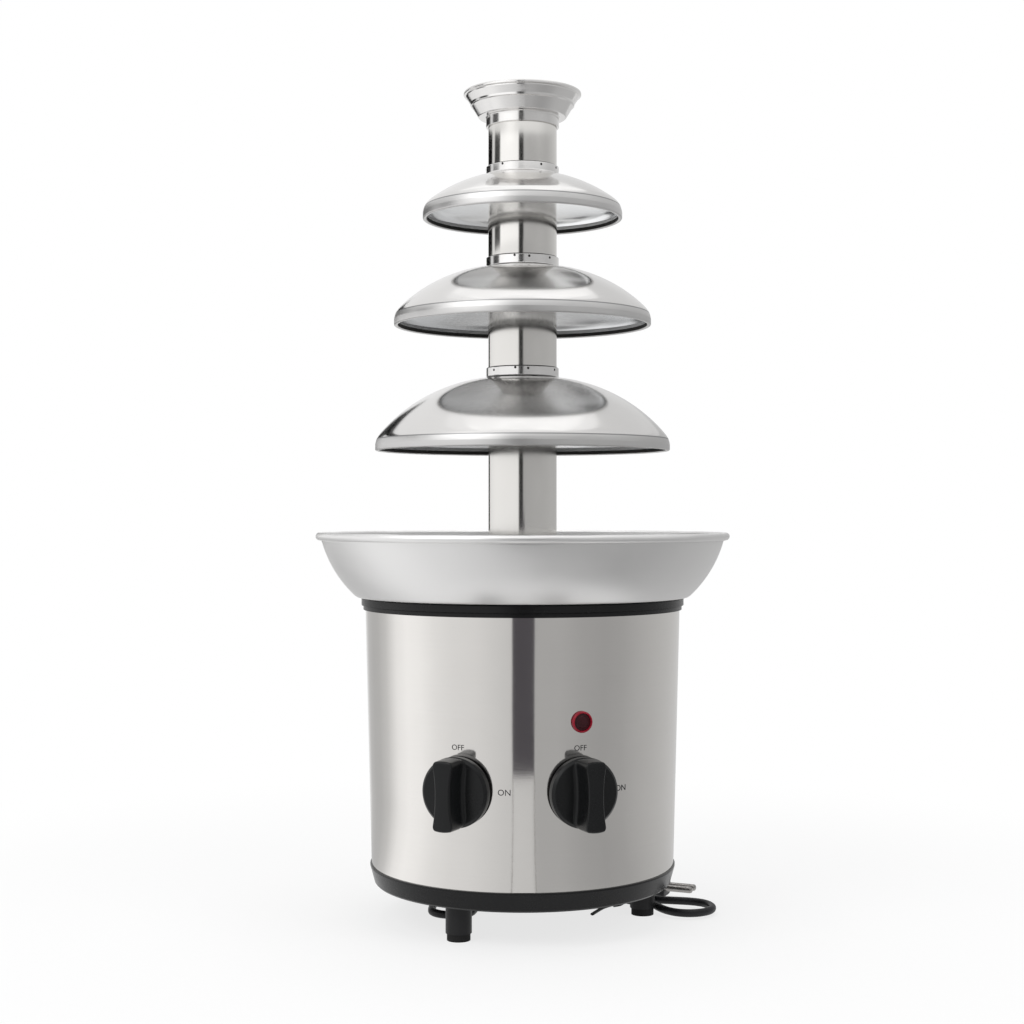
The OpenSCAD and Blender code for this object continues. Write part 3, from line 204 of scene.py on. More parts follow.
# %% Loft and lathe
def add_mesh(name, points, faces, body, sharp=35):
    """A smooth-shaded mesh piece in place (millimetres in, metres out) that rides on a body."""
    mesh = bpy.data.meshes.new(name)
    mesh.from_pydata([(x * MM, y * MM, z * MM) for x, y, z in points], [], faces)
    mesh.validate()
    shell = bmesh.new()
    shell.from_mesh(mesh)
    bmesh.ops.recalc_face_normals(shell, faces=shell.faces)
    shell.to_mesh(mesh)
    shell.free()
    mesh.polygons.foreach_set("use_smooth", [True] * len(mesh.polygons))
    mesh.set_sharp_from_angle(angle=radians(sharp))
    piece = add_object(name, mesh)
    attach(piece, body)
    return piece


def loft_faces(rings, sides, start=0, closed=False, caps=True):
    """Faces that join a stack of rings of equally many points."""
    faces = []
    for i in range(rings if closed else rings - 1):
        low, high = start + i * sides, start + (i + 1) % rings * sides
        for k in range(sides):
            n = (k + 1) % sides
            faces.append((low + k, low + n, high + n, high + k))
    if caps and not closed:
        faces.append(tuple(range(start + sides - 1, start - 1, -1)))
        faces.append(tuple(range(start + (rings - 1) * sides, start + rings * sides)))
    return faces


def lathe_points(outline, segments):
    """The rings of a closed outline of (radius, height), turned round the axis."""
    points = []
    for k in range(segments):
        c, s = cos(2 * pi * k / segments), sin(2 * pi * k / segments)
        points += [(r * c, r * s, z) for r, z in outline]
    return points


def lathe(name, outline, body, segments=192, sharp=35):
    points = lathe_points(outline, segments)
    return add_mesh(name, points, loft_faces(segments, len(outline), closed=True), body, sharp)


print("faces between two rings of 8 points, with caps:", len(loft_faces(2, 8)))

# %% [markdown]
# Two more helpers draw outlines. One rounds corners, since a real edge always catches a thin line
# of light, and a perfectly sharp one never does. The other is a circular arc for domes and walls.

# %% Rounded corners and arcs
def rounded(corners, steps=5):
    """A closed outline whose corners (x, y, radius) are rounded off."""
    outline = []
    for i, (x, y, r) in enumerate(corners):
        here = Vector((x, y))
        back = Vector(corners[i - 1][:2]) - here
        ahead = Vector(corners[(i + 1) % len(corners)][:2]) - here
        if r <= 0 or back.length < 1e-6 or ahead.length < 1e-6:
            outline.append((x, y))
            continue
        half = back.angle(ahead) / 2
        reach = min(r / max(sin(half), 1e-3) * cos(half), 0.48 * back.length, 0.48 * ahead.length)
        one, two = here + back.normalized() * reach, here + ahead.normalized() * reach
        for k in range(steps + 1):
            t = k / steps
            spot = one * (1 - t) ** 2 + here * 2 * t * (1 - t) + two * t ** 2
            outline.append((spot.x, spot.y))
    return outline


def arc(p, q, bulge, inset=0, steps=48):
    """Points on a circular arc from p to q that bulges to the left by that much."""
    p, q = Vector(p), Vector(q)
    chord = q - p
    along = chord.normalized()
    side = Vector((-along.y, along.x))
    r = (chord.length ** 2 / 4 + bulge ** 2) / (2 * bulge)
    half = asin(chord.length / 2 / r)
    centre = (p + q) / 2 + side * (bulge - r)
    spots = [-half + 2 * half * i / steps for i in range(steps + 1)]
    return [tuple(centre + (r - inset) * (sin(a) * along + cos(a) * side)) for a in spots]


square = rounded([(0, 0, 1), (9, 0, 1), (9, 9, 1), (0, 9, 1)])
print("points of a rounded square:", len(square))

# %% [markdown]
# The plug is a small rubber moulding with a ribbed boot where the lead goes in and two round pins.
# It could be boxes and cylinders, but a moulding has soft corners that change along its length.
# A loft of rounded rectangles gives that: each section has its own width, height and roundness.

# %% The plug and its pins
plug_sides, pin_sides, rib_pitch, pin_aside = 48, 24, 2.2, 3.5


def section(width, height, power, sides=plug_sides):
    """A rounded rectangle as a superellipse; a high power is squarer."""
    ring = []
    for k in range(sides):
        c, s = cos(2 * pi * k / sides), sin(2 * pi * k / sides)
        ring.append((width / 2 * abs(c) ** (2 / power) * (1 if c >= 0 else -1),
                     height / 2 * abs(s) ** (2 / power) * (1 if s >= 0 else -1)))
    return ring


def along_plug(ring, distance, aside=0):
    """Sets a ring of (across, up) at a distance along the plug."""
    c, s = cos(plug_angle), sin(plug_angle)
    return [(plug_entry[0] + distance * c - (a + aside) * s,
             plug_entry[1] + distance * s + (a + aside) * c, plug_entry[2] + b) for a, b in ring]


plug_rings = [section(4.9, 4.9, 2)]
plug_stops = [0]
for rib in range(4):
    thick = 5.6 + rib * 0.9
    plug_stops += [stop + rib * rib_pitch for stop in (0.3, 0.6, 1.5, 1.8, 2.1)]
    plug_rings += [section(thick + d, thick + d, 2.2) for d in (0.2, 0.7, 0.7, 0.2, -0.4)]
for stop, width, height, power in ((9.3, 10.6, 9.4, 2.6), (11, 12.6, 10.4, 3.4), (14, 13.7, 10.9, 4),
                                   (18, 13.2, 10.5, 4), (22, 13.2, 10.5, 4), (26, 13.9, 10.9, 4.4),
                                   (29, 14, 11, 5), (29.7, 13.7, 10.7, 5), (30, 12.8, 9.8, 5)):
    plug_stops.append(stop)
    plug_rings.append(section(width, height, power))
plug_points = [p for ring, stop in zip(plug_rings, plug_stops) for p in along_plug(ring, stop)]
plug_faces = loft_faces(len(plug_rings), plug_sides)
plug_body = add_mesh("plug_body", plug_points, plug_faces, "base", 50)
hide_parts("plug")

pin_stops = ((29.5, 2), (45.4, 2), (46.2, 1.85), (46.7, 1.5), (47, 0.9))
pin_points, pin_faces = [], []
for side in (-pin_aside, pin_aside):
    start = len(pin_points)
    for stop, r in pin_stops:
        pin_points += along_plug(section(2 * r, 2 * r, 2, pin_sides), stop, side)
    pin_faces += loft_faces(len(pin_stops), pin_sides, start)
pins = add_mesh("plug_pin_pair", pin_points, pin_faces, "base")
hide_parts("plug_pins")
print("plug rings:", len(plug_rings), "pins:", 2)

# %% [markdown]
# The tie is a flat strip of coated wire wound round the waist of the hank, with its ends twisted
# and sticking out. The band is a loft round a rounded rectangle, and the ends are two thin lofts
# that wind round each other once before they part.

# %% The tie
tie_slack, tie_t, tie_sides = 0.3, 0.8, 10
tie_front = -1.4 * waist_step - cord_d / 2 - tie_slack
tie_back = 1.9 * waist_step + cord_d / 2 + tie_slack
tie_low, tie_high = hank_z - cord_d / 2 - tie_slack, hank_z + cord_d / 2 + tie_slack
band_inner = rounded([(tie_front, tie_low, 2), (tie_back, tie_low, 2), (tie_back, tie_high, 2.4),
                      (tie_front, tie_high, 2.4)], 8)
band_outer = rounded([(tie_front - tie_t, tie_low - tie_t, 2.8), (tie_back + tie_t, tie_low - tie_t, 2.8),
                      (tie_back + tie_t, tie_high + tie_t, 3.2),
                      (tie_front - tie_t, tie_high + tie_t, 3.2)], 8)
tie_points, tie_faces = [], []
for (yi, zi), (yo, zo) in zip(band_inner, band_outer):
    for x, share in ((-3, 0.25), (-2.6, 1), (2.6, 1), (3, 0.25), (2.6, 0), (-2.6, 0)):
        tie_points.append(hank_place((x, yi + (yo - yi) * share, zi + (zo - zi) * share)))
tie_faces += loft_faces(len(band_inner), 6, 0, closed=True)


def tie_end(route, thick):
    line = line_through(route, 6)
    start = len(tie_points)
    for i, spot in enumerate(line):
        ahead = Vector(line[min(i + 1, len(line) - 1)]) - Vector(line[max(i - 1, 0)])
        across = ahead.cross(Vector((0, 0, 1))).normalized()
        up = across.cross(ahead).normalized()
        for k in range(tie_sides):
            a = 2 * pi * k / tie_sides
            ring = Vector(spot) + (across * cos(a) * 1.5 + up * sin(a)) * thick
            tie_points.append(hank_place(ring))
    tie_faces.extend(loft_faces(len(line), tie_sides, start))


tie_end([(0.5, tie_front - 0.5, 2.6), (-0.4, tie_front - 4, 2), (-2, tie_front - 9, 1.5),
         (-2, tie_front - 20, 1.2), (3, tie_front - 36, 1.2)], 0.8)
tie_end([(-1, tie_front - 0.5, 1.6), (0.8, tie_front - 4, 1.6), (1.6, tie_front - 8, 1.4),
         (0, tie_front - 12, 1.2)], 0.6)
tie = add_mesh("twist_tie", tie_points, tie_faces, "base", 60)
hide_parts("cord_tie")
print("tie points:", len(tie_points))

# %% [markdown]
# Finishes are written as sums. The class below wraps one output of a shader node, so that Python's
# own operators add the Math nodes: `0.2 + 0.1 * grain` becomes a multiply and an add.

# %% Sockets that can be added and multiplied
class Shade:
    """One output of a node, with the arithmetic of plain numbers."""

    def __init__(self, finish, socket):
        self.finish, self.socket = finish, socket

    def math(self, operation, first, second=0.0):
        return self.finish.node("ShaderNodeMath", {"operation": operation}, {0: first, 1: second})

    def __add__(self, other):
        return self.math("ADD", self, other)

    def __radd__(self, other):
        return self.math("ADD", other, self)

    def __sub__(self, other):
        return self.math("SUBTRACT", self, other)

    def __rsub__(self, other):
        return self.math("SUBTRACT", other, self)

    def __mul__(self, other):
        return self.math("MULTIPLY", self, other)

    def __rmul__(self, other):
        return self.math("MULTIPLY", other, self)

    def __truediv__(self, other):
        return self.math("DIVIDE", self, other)

    def __rtruediv__(self, other):
        return self.math("DIVIDE", other, self)

    def __pow__(self, other):
        return self.math("POWER", self, other)


print("operators on sockets:", [name for name in vars(Shade) if name.startswith("__r")])

# %% [markdown]
# A finish holds one material. Its single `node` method makes any other node from its type, its
# settings and the values or links of its sockets. The other methods are short names for the few
# nodes that nearly every finish uses.

# %% Finishes and their nodes
class Finish:
    """One material and the few nodes that it is made of."""

    def __init__(self, name):
        self.material = bpy.data.materials.new(name)
        self.material.use_nodes = True
        self.tree = self.material.node_tree
        self.tree.nodes.clear()

    def node(self, kind, settings=None, values=None, out=0):
        made = self.tree.nodes.new(kind)
        for key, value in (settings or {}).items():
            if key == "stops":
                stops = made.color_ramp.elements
                while len(stops) < len(value):
                    stops.new(0.5)
                for stop, (place, level) in zip(stops, value):
                    stop.position = place
                    stop.color = level if isinstance(level, tuple) else (level, level, level, 1)
            else:
                setattr(made, key, value)
        for key, value in (values or {}).items():
            if isinstance(value, Shade):
                self.tree.links.new(value.socket, made.inputs[key])
            else:
                made.inputs[key].default_value = value
        return Shade(self, made.outputs[out]) if made.outputs else None

    def mix(self, factor, one, two):
        """Between two colours, (r, g, b, 1) or links."""
        return self.node("ShaderNodeMix", {"data_type": "RGBA"}, {0: factor, 6: one, 7: two}, 2)

    def places(self):
        """The rest position on the piece: its vector, and x, y, z as numbers."""
        vector = self.node("ShaderNodeTexCoord", out=3)
        parts = self.node("ShaderNodeSeparateXYZ", values={0: vector}).socket.node
        return vector, *(Shade(self, parts.outputs[k]) for k in range(3))

    def noise(self, vector, scale, detail=2.0, rough=0.5):
        return self.node("ShaderNodeTexNoise", {"noise_dimensions": "3D"},
                         {"Vector": vector, "Scale": scale, "Detail": detail, "Roughness": rough})

    def vector(self, x, y, z):
        return self.node("ShaderNodeCombineXYZ", values={0: x, 1: y, 2: z})

    def bump(self, height, strength, distance):
        return self.node("ShaderNodeBump", values={"Height": height, "Strength": strength,
                                                   "Distance": distance})

    def shader(self, **values):
        """The surface: words with _ for spaces name the Principled shader's sockets."""
        values = {key.replace("_", " "): value for key, value in values.items()}
        surface = self.node("ShaderNodeBsdfPrincipled", values=values)
        self.node("ShaderNodeOutputMaterial", values={"Surface": surface})
        return self.material


print("nodes with a short name:", [name for name in vars(Finish) if not name.startswith("_")])

# %% [markdown]
# The fountain is mostly polished stainless steel. Real polished sheet is a mirror that is not quite
# flat: fine lines from the polishing wheel run round the spun pieces and along the tubes, cloudy
# smudges change the gloss, and the sheet itself waves a little. So the roughness is a base value
# plus lines plus clouds, and two small bumps bend the reflections.

# %% Steel finishes
def steel(name, colour, gloss, lines, waves, direction):
    """Polished steel; direction is where the polishing lines run: round, along or flat."""
    finish = Finish(name)
    place, x, y, z = finish.places()
    radius = (x * x + y * y) ** 0.5
    turn = finish.node("ShaderNodeMath", {"operation": "ARCTAN2"}, {0: x, 1: y})
    if direction == "round":
        stretched = finish.vector(radius * 3000.0, z * 3000.0, turn * 1.5)
    elif direction == "along":
        stretched = finish.vector(turn * 160.0, z * 12.0, radius * 40.0)
    else:
        stretched = finish.vector(turn * 3.0, z * 2200.0, radius * 40.0)
    grain = finish.noise(stretched, 1.0, 3.0, 0.6)
    clouds = finish.noise(place, 38.0, 3.0, 0.55)
    sheet = finish.noise(place, 16.0, 1.0, 0.4)
    tint = finish.mix(clouds * 0.5 + grain * 0.35, tuple(0.93 * c for c in colour) + (1,),
                      tuple(min(1, 1.04 * c) for c in colour) + (1,))
    rough = gloss * (0.62 + 0.5 * clouds + lines * grain)
    fine = finish.bump(grain, 0.06, 0.00004)
    normal = finish.node("ShaderNodeBump", values={"Height": sheet, "Strength": waves,
                                                   "Distance": 0.0012, "Normal": fine})
    return finish.shader(Base_Color=tint, Metallic=1.0, Roughness=rough, Normal=normal)


rim_steel = steel("rim_steel", (0.6, 0.595, 0.59), 0.34, 0.5, 0.08, "round")
# A dark grey copy of the steel: painted shade for the crease where a tier's shoulder meets its band.
shoulder_shade_steel = steel("shoulder_shade_steel", (0.30, 0.30, 0.30), 0.34, 0.5, 0.08, "round")
under_steel = steel("under_steel", (0.77, 0.78, 0.79), 0.23, 0.5, 0.12, "round")
# A lighter copy of the underside steel for the small tier: painted light.
painted_light_under_steel = steel("painted_light_under_steel", (0.95, 0.96, 0.97), 0.18, 0.5, 0.12, "round")
tier_steel = steel("tier_steel", (0.80, 0.79, 0.78), 0.13, 0.55, 0.10, "round")
tube_steel = steel("tube_steel", (0.78, 0.765, 0.74), 0.11, 0.6, 0.08, "along")
wrap_steel = steel("wrap_steel", (0.80, 0.78, 0.755), 0.075, 0.5, 0.10, "flat")
bowl_steel = steel("bowl_steel", (0.79, 0.785, 0.78), 0.36, 0.5, 0.22, "round")
crown_steel = steel("crown_steel", (0.79, 0.78, 0.77), 0.15, 0.5, 0.12, "round")
print("steels:", tier_steel.name, tube_steel.name, wrap_steel.name, bowl_steel.name, crown_steel.name)

# %% [markdown]
# The black parts are moulded plastic. Plastic has no single colour: the mould leaves a fine grain,
# and gloss comes and goes where the melt flowed. One recipe covers gloss trim, satin knobs, rubber
# and the lead's soft jacket, with its own numbers for each.

# %% Moulded finishes
def moulded(name, colour, gloss, grain_size, depth, cloudy=0.25, shine=0.25):
    """Plastic or rubber; grain_size and depth are the mould's, in millimetres."""
    finish = Finish(name)
    place, *_ = finish.places()
    grain = finish.noise(place, 1.0 / (grain_size * MM), 2.0, 0.6)
    clouds = finish.noise(place, 55.0, 3.0, 0.5)
    dark = tuple(c * (1 - cloudy) for c in colour) + (1,)
    pale = tuple(min(1, c * (1 + cloudy) + 0.001) for c in colour) + (1,)
    tint = finish.mix(0.6 * clouds + 0.4 * grain, dark, pale)
    rough = gloss * (0.8 + 0.25 * clouds + 0.2 * grain)
    return finish.shader(Base_Color=tint, Roughness=rough, Specular_IOR_Level=shine,
                         Normal=finish.bump(grain, 0.25, depth * MM))


trim_black = moulded("trim_black", (0.007, 0.007, 0.0075), 0.26, 0.5, 0.004, shine=0.22)
knob_black = moulded("knob_black", (0.006, 0.0065, 0.007), 0.28, 0.35, 0.006, 0.3, 0.26)
leg_black = moulded("leg_black", (0.013, 0.013, 0.014), 0.42, 0.6, 0.012)
rubber_black = moulded("rubber_black", (0.012, 0.012, 0.012), 0.72, 0.9, 0.03)
lead_black = moulded("lead_black", (0.014, 0.0145, 0.017), 0.42, 1.3, 0.02, 0.35)
# Nearly black: painted shade in the fold of each hem, and also the dark colour of the spot welds and their
# joint lines.
hem_shade_and_weld_black = moulded("hem_shade_and_weld_black", (0.012, 0.011, 0.010), 0.6, 0.5, 0.01, 0.4)
print("mouldings:", trim_black.name, knob_black.name, leg_black.name, rubber_black.name, lead_black.name)

# %% [markdown]
# Inside the base are pressed, cast and turned parts. They are hardly seen, yet the part is used from
# every side and taken apart, so each gets a finish of its own: zinc plate with its crystals, cast
# alloy with a pebbled skin, bronze, turned steel, nylon, silicone and the jackets of wires.

# %% Finishes of the inner parts
def metal(name, colour, gloss, crystal, depth):
    """Plated, cast or turned metal; crystal and depth are its skin's, in millimetres."""
    finish = Finish(name)
    place, *_ = finish.places()
    cells = finish.node("ShaderNodeTexVoronoi", {}, {"Vector": place, "Scale": 1.0 / (crystal * MM)})
    clouds = finish.noise(place, 90.0, 3.0)
    tint = finish.mix(0.5 * cells + 0.4 * clouds, tuple(0.82 * c for c in colour) + (1,),
                      tuple(min(1, 1.12 * c) for c in colour) + (1,))
    rough = gloss * (0.75 + 0.4 * clouds + 0.2 * cells)
    return finish.shader(Base_Color=tint, Metallic=1.0, Roughness=rough,
                         Normal=finish.bump(cells, 0.2, depth * MM))


zinc = metal("zinc_plate", (0.62, 0.63, 0.64), 0.38, 2.2, 0.01)
cast_alloy = metal("cast_alloy", (0.55, 0.55, 0.56), 0.5, 0.8, 0.03)
bronze = metal("bronze", (0.60, 0.42, 0.22), 0.35, 0.6, 0.01)
turned_steel = metal("turned_steel", (0.64, 0.64, 0.65), 0.24, 0.5, 0.004)
# Painted reflection: the plug pins' nickel is coloured dark grey for the dark surroundings it mirrors.
shaded_pin_metal = metal("pin_nickel_painted_shade", (0.33, 0.32, 0.31), 0.3, 0.7, 0.003)
nylon = moulded("white_nylon", (0.80, 0.79, 0.74), 0.42, 0.8, 0.01, 0.06)
silicone = moulded("red_silicone", (0.42, 0.10, 0.07), 0.55, 1.0, 0.02, 0.12)
switch_body = moulded("switch_body", (0.06, 0.06, 0.065), 0.5, 0.7, 0.01)
wire_jacket = moulded("wire_jacket", (0.24, 0.24, 0.26), 0.5, 1.0, 0.01, 0.2)
magnet_grey = moulded("magnet_grey", (0.07, 0.07, 0.08), 0.62, 0.4, 0.02)
print("inner finishes:", 10)

# %% [markdown]
# Each tier is a dome of spun sheet with a rounded shoulder, a hem folded inwards at the rim, and a
# collar on top that takes the next tube. A solid of revolution from one outline is exact, but a
# polished dome shows every facet, so the outline gets many points on its arcs and small radii where
# the sheet is bent. Heights and radii are read from the solid, so the visible dome lies on it. The
# band at the rim is brushed, not polished. The inner face of the hem's fold is painted nearly black,
# as painted shade in the fold.

# %% The three tiers
collar_r, collar_bore, shoulder_w, shoulder_h, skirt_h = 21.2, 20.3, 2.0, 9.0, 3.5
sheet_t, hem_w, hem_h, shoulder_shade_h, band_h = 1.0, 2.2, 2.6, 6.5, 7.2
BRUSHED, HEM_SHADE, SHOULDER_SHADE, UNDER = 1, 2, 3, 4
tier_shapes = {"large_tier": (7.0, 5.8, "tower_lower"), "medium_tier": (5.1, 5.9, "tower_middle"),
               "small_tier": (2.2, 5.2, "tower_upper")}


def eased(line, rounds=10):
    """Takes the kink out of a line of points by moving each to the middle of its neighbours."""
    for _ in range(rounds):
        line = [line[0]] + [tuple((Vector(a) + 2 * Vector(b) + Vector(c)) / 4)
                            for a, b, c in zip(line, line[1:], line[2:])] + [line[-1]]
    return line


def tier_side(rim_r, rim_z, top_z, bulge, inset=0):
    shoulder, brim = (rim_r - shoulder_w, rim_z + shoulder_h), (rim_r, rim_z + skirt_h)
    dome = arc((collar_r, top_z), shoulder, bulge, inset, 60)
    return eased(dome[1:] + arc(shoulder, brim, 0.5, inset, 8)[1:])


def tier_outline(rim_r, rim_z, top_z, bulge, top):
    corners = [(collar_bore, top_z - 1, 0.2), (collar_bore, top, 0.4), (collar_r, top, 0.7)]
    corners += [(collar_r, top_z + 0.4, 0.9)]
    corners += [(r, z, 0) for r, z in tier_side(rim_r, rim_z, top_z, bulge)[1:-1]]
    corners += [(rim_r, rim_z + skirt_h, 1.2), (rim_r, rim_z, 1.0), (rim_r - hem_w, rim_z, 0.9)]
    corners += [(rim_r - hem_w, rim_z + hem_h, 0.3)]
    corners += [(r, z, 0) for r, z in tier_side(rim_r, rim_z, top_z, bulge, sheet_t)[-3:0:-1]]
    return rounded(corners)


for name, (bulge, collar_h, body) in tier_shapes.items():
    (_, _, rim_z), (rim_r, _, top) = [[c / MM for c in corner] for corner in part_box(name)]
    outline = tier_outline(rim_r, rim_z, top - collar_h, bulge, top)
    dome = lathe(name + "_spun", outline, body)
    # Painted light: the small tier's underside takes the lighter copy of the underside steel.
    below = painted_light_under_steel if name == "small_tier" else under_steel
    for finish in (tier_steel, rim_steel, hem_shade_and_weld_black, shoulder_shade_steel, below):
        dome.data.materials.append(finish)
    for face in dome.data.polygons:
        r, z = hypot(*face.center[:2]) / MM, face.center.z / MM - rim_z
        # Painted shade: the inner face of the hem's fold is coloured nearly black.
        if rim_r - 3.2 < r < rim_r - 1.9 and 0.5 < z < 3.4:
            face.material_index = HEM_SHADE
        elif face.normal.z < -0.1 and z > 3:
            face.material_index = UNDER
        # Painted shade: a thin strip where the shoulder meets the band is coloured dark grey.
        elif z < band_h:
            face.material_index = SHOULDER_SHADE if z > shoulder_shade_h else BRUSHED
    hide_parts(name)
    print(name, "faces:", len(dome.data.polygons), "rim at", round(rim_z, 1))

# %% [markdown]
# Each tube is fixed in its collar with spot welds. They show as small dark pits near the collar's
# upper edge, not quite evenly spread, above a dark joint line. Real geometry reads better than a
# bump here, because each pit has an edge of its own.

# %% Spot welds on the collars
weld_count, weld_sides, joint_segments = 9, 12, 96


def weld_dots(name, top, body, count):
    points, faces = [], []
    for k in range(count):
        a = 2 * pi * (k + 0.5 + 0.3 * sin(5.1 * k + top)) / count
        out, side = Vector((sin(a), -cos(a), 0)), Vector((cos(a), sin(a), 0))
        centre = out * (collar_r - 0.25) + Vector((0, 0, top - 1.5 + 0.5 * sin(3.3 * k)))
        start = len(points)
        for r, lift in ((0.75, 0.1), (0.7, 0.3), (0.45, 0.34), (0.2, 0.3)):
            for j in range(weld_sides):
                t = 2 * pi * j / weld_sides
                points.append(tuple(centre + side * r * cos(t) + Vector((0, 0, r * sin(t))) + out * lift))
        faces += loft_faces(4, weld_sides, start)
    joint = rounded([(20.08, top - 0.5, 0), (20.5, top - 0.5, 0), (20.4, top + 0.35, 0.1),
                     (20.08, top + 0.45, 0.1)], 2)
    start = len(points)
    points += lathe_points(joint, joint_segments)
    faces += loft_faces(joint_segments, len(joint), start, closed=True)
    dots = add_mesh(name, points, faces, body, 60)
    dots.data.materials.append(hem_shade_and_weld_black)


for name, (_, _, body) in tier_shapes.items():
    weld_dots(name + "_welds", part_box(name)[1][2] / MM, body, weld_count)
    print(name, "welds:", weld_count)

# %% [markdown]
# The column is a stack of four thin tubes. Only plain lengths show between the tiers, so a lathe
# with a slightly eased edge is enough. The lowest tube keeps its own solid, which has the inlets
# through which the chocolate flows to the screw.

# %% Column tubes
tube_r, tube_bore = 20, 19.2
tubes = {"middle_tube": "tower_middle", "upper_tube": "tower_upper", "top_tube": "tower_top"}
for name, body in tubes.items():
    low, high = (corner[2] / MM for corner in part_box(name))
    outline = rounded([(tube_bore, low, 0.2), (tube_r, low, 0.3), (tube_r, high, 0.3),
                       (tube_bore, high, 0.2)], 3)
    tube = lathe(name + "_drawn", outline, body)
    tube.data.materials.append(tube_steel)
    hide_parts(name)
    print(name, "from", round(low, 1), "to", round(high, 1))

# %% [markdown]
# The crown is a flared cup with a step halfway up and a turned lip, on a short sleeve that grips the
# top tube. Its outline follows the solid, with the bends of the sheet rounded.

# %% The crown
crown_outline = rounded([
    (20.05, 458.5, 0.2), (21.25, 458.5, 0.4), (21.25, 464.4, 0.8), (25.5, 464.4, 1.2),
    (29.5, 470.88, 0.5), (30.3, 471.28, 0.4), (30.4, 472.48, 0.4), (31.3, 473.88, 0.6),
    (32.9, 476.3, 0.5), (32.9, 476.9, 0.2), (34.3, 477.2, 0.4), (34.3, 478.5, 0.4),
    (33.9, 478.8, 0.4), (32.3, 478.8, 0.8), (29.9, 473.08, 0.8), (24.5, 467, 1.0),
    (tube_bore, 467, 0.3), (tube_bore, 465.6, 0.2), (20.05, 465.6, 0.2)], 6)
crown = lathe("crown_cup", crown_outline, "tower_top", sharp=40)
crown.data.materials.append(crown_steel)
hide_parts("crown")
print("crown outline points:", len(crown_outline))

# %% [markdown]
# The bowl is pressed from one sheet, with a rolled lip. It is the least polished of the steel pieces:
# its wall is satin, and its skin waves where the press drew it. The roll of the lip isn't perfectly
# even either, so a very small ripple is turned into the bead.

# %% The bowl
lip, foot, wall_bulge, bowl_t = (117.2, 220.5), (97.0, 185.9), 3.0, 1.2
bead_at, bead_r, bowl_segments = 117.8, 2.2, 256
wall_out = arc(lip, foot, wall_bulge)
wall_in = arc(lip, foot, wall_bulge, bowl_t)
bead_turns = [radians(a) for a in range(150, -136, -12)]
bead = [(bead_at + bead_r * cos(a), lip[1] + bead_r * sin(a)) for a in bead_turns]
bowl_corners = [(r, z, 0) for r, z in bead + wall_out[3:-1]]
bowl_corners += [(96.1, 185.5, 1.2), (9.0, 185.5, 0), (9.0, 186.7, 0), (94.4, 186.7, 1.6)]
bowl_corners += [(r, z, 0) for r, z in wall_in[-2:3:-1]]
bowl_outline = rounded(bowl_corners)
bowl_points = []
for x, y, z in lathe_points(bowl_outline, bowl_segments):
    turn = atan2(y, x)
    ripple = 0.16 * sin(7 * turn + 0.6) + 0.10 * sin(17 * turn + 2.0) + 0.06 * sin(31 * turn)
    near_lip = smooth((z - 216.2) / 6)
    inwards = 1 - 0.10 * near_lip * abs(ripple) / hypot(x, y)
    bowl_points.append((x * inwards, y * inwards, z - near_lip * abs(ripple) * 0.5))
bowl = add_mesh("bowl_pressed", bowl_points, loft_faces(bowl_segments, len(bowl_outline), closed=True),
                "base", 40)
bowl.data.materials.append(bowl_steel)
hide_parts("bowl")
print("bowl faces:", len(bowl.data.polygons))

# %% [markdown]
# The knobs are moulded in one piece: a round disc with a raised edge, and a tall grip across it that
# is narrower in the middle for finger and thumb. The grip is a loft of one waisted outline that is
# made larger near the disc, for the hollow fillet, and smaller at the top, for the rounded edge.
# The disc is turned round the knob's own axis. Both are set on the wrap by one small function.

# %% The two knobs
panel_angle, knob_z, disc_segments = 21.5, 85.0, 96
knob_r, knob_back, knob_front, grip_top = 19.0, 90.2, 96.2, 111.2


def on_panel(angle, height, p):
    """From (right, up, outward radius) at a place on the wrap to the frame."""
    c, s = cos(radians(angle)), sin(radians(angle))
    return p[0] * c + p[2] * s, p[0] * s - p[2] * c, height + p[1]


def turned_on_panel(angle, height, outline, segments):
    """The rings of an outline of (radius, outward radius), turned round an axis through the wrap."""
    points = []
    for k in range(segments):
        c, s = cos(2 * pi * k / segments), sin(2 * pi * k / segments)
        points += [on_panel(angle, height, (r * c, r * s, out)) for r, out in outline]
    return points


def grip_ring(grow, end_grow, height, tilt=0.0):
    """The grip's waisted outline with blunt ends, let out by grow at its sides, end_grow at its ends."""
    ring, tip = [], 4.5
    for side in (1, -1):
        for k in range(61):
            t = 1 - 2 * k / 60
            waisted = 6.3 - 1.7 * (1 - t * t)
            half = tip + (waisted - tip) * (1 - abs(t) ** 16) + grow * (1 - abs(t) ** 6)
            y = t * (sqrt(knob_r ** 2 - tip ** 2) + end_grow)
            ring.append((side * half, side * y))
        for k in range(1, 12):
            t = 1 - 2 * k / 12
            ring.append((side * t * tip, -side * (sqrt(knob_r ** 2 - (tip * t) ** 2) + end_grow)))
    return [(x, y, height + tilt * (1 - (y / knob_r) ** 2)) for x, y in ring]


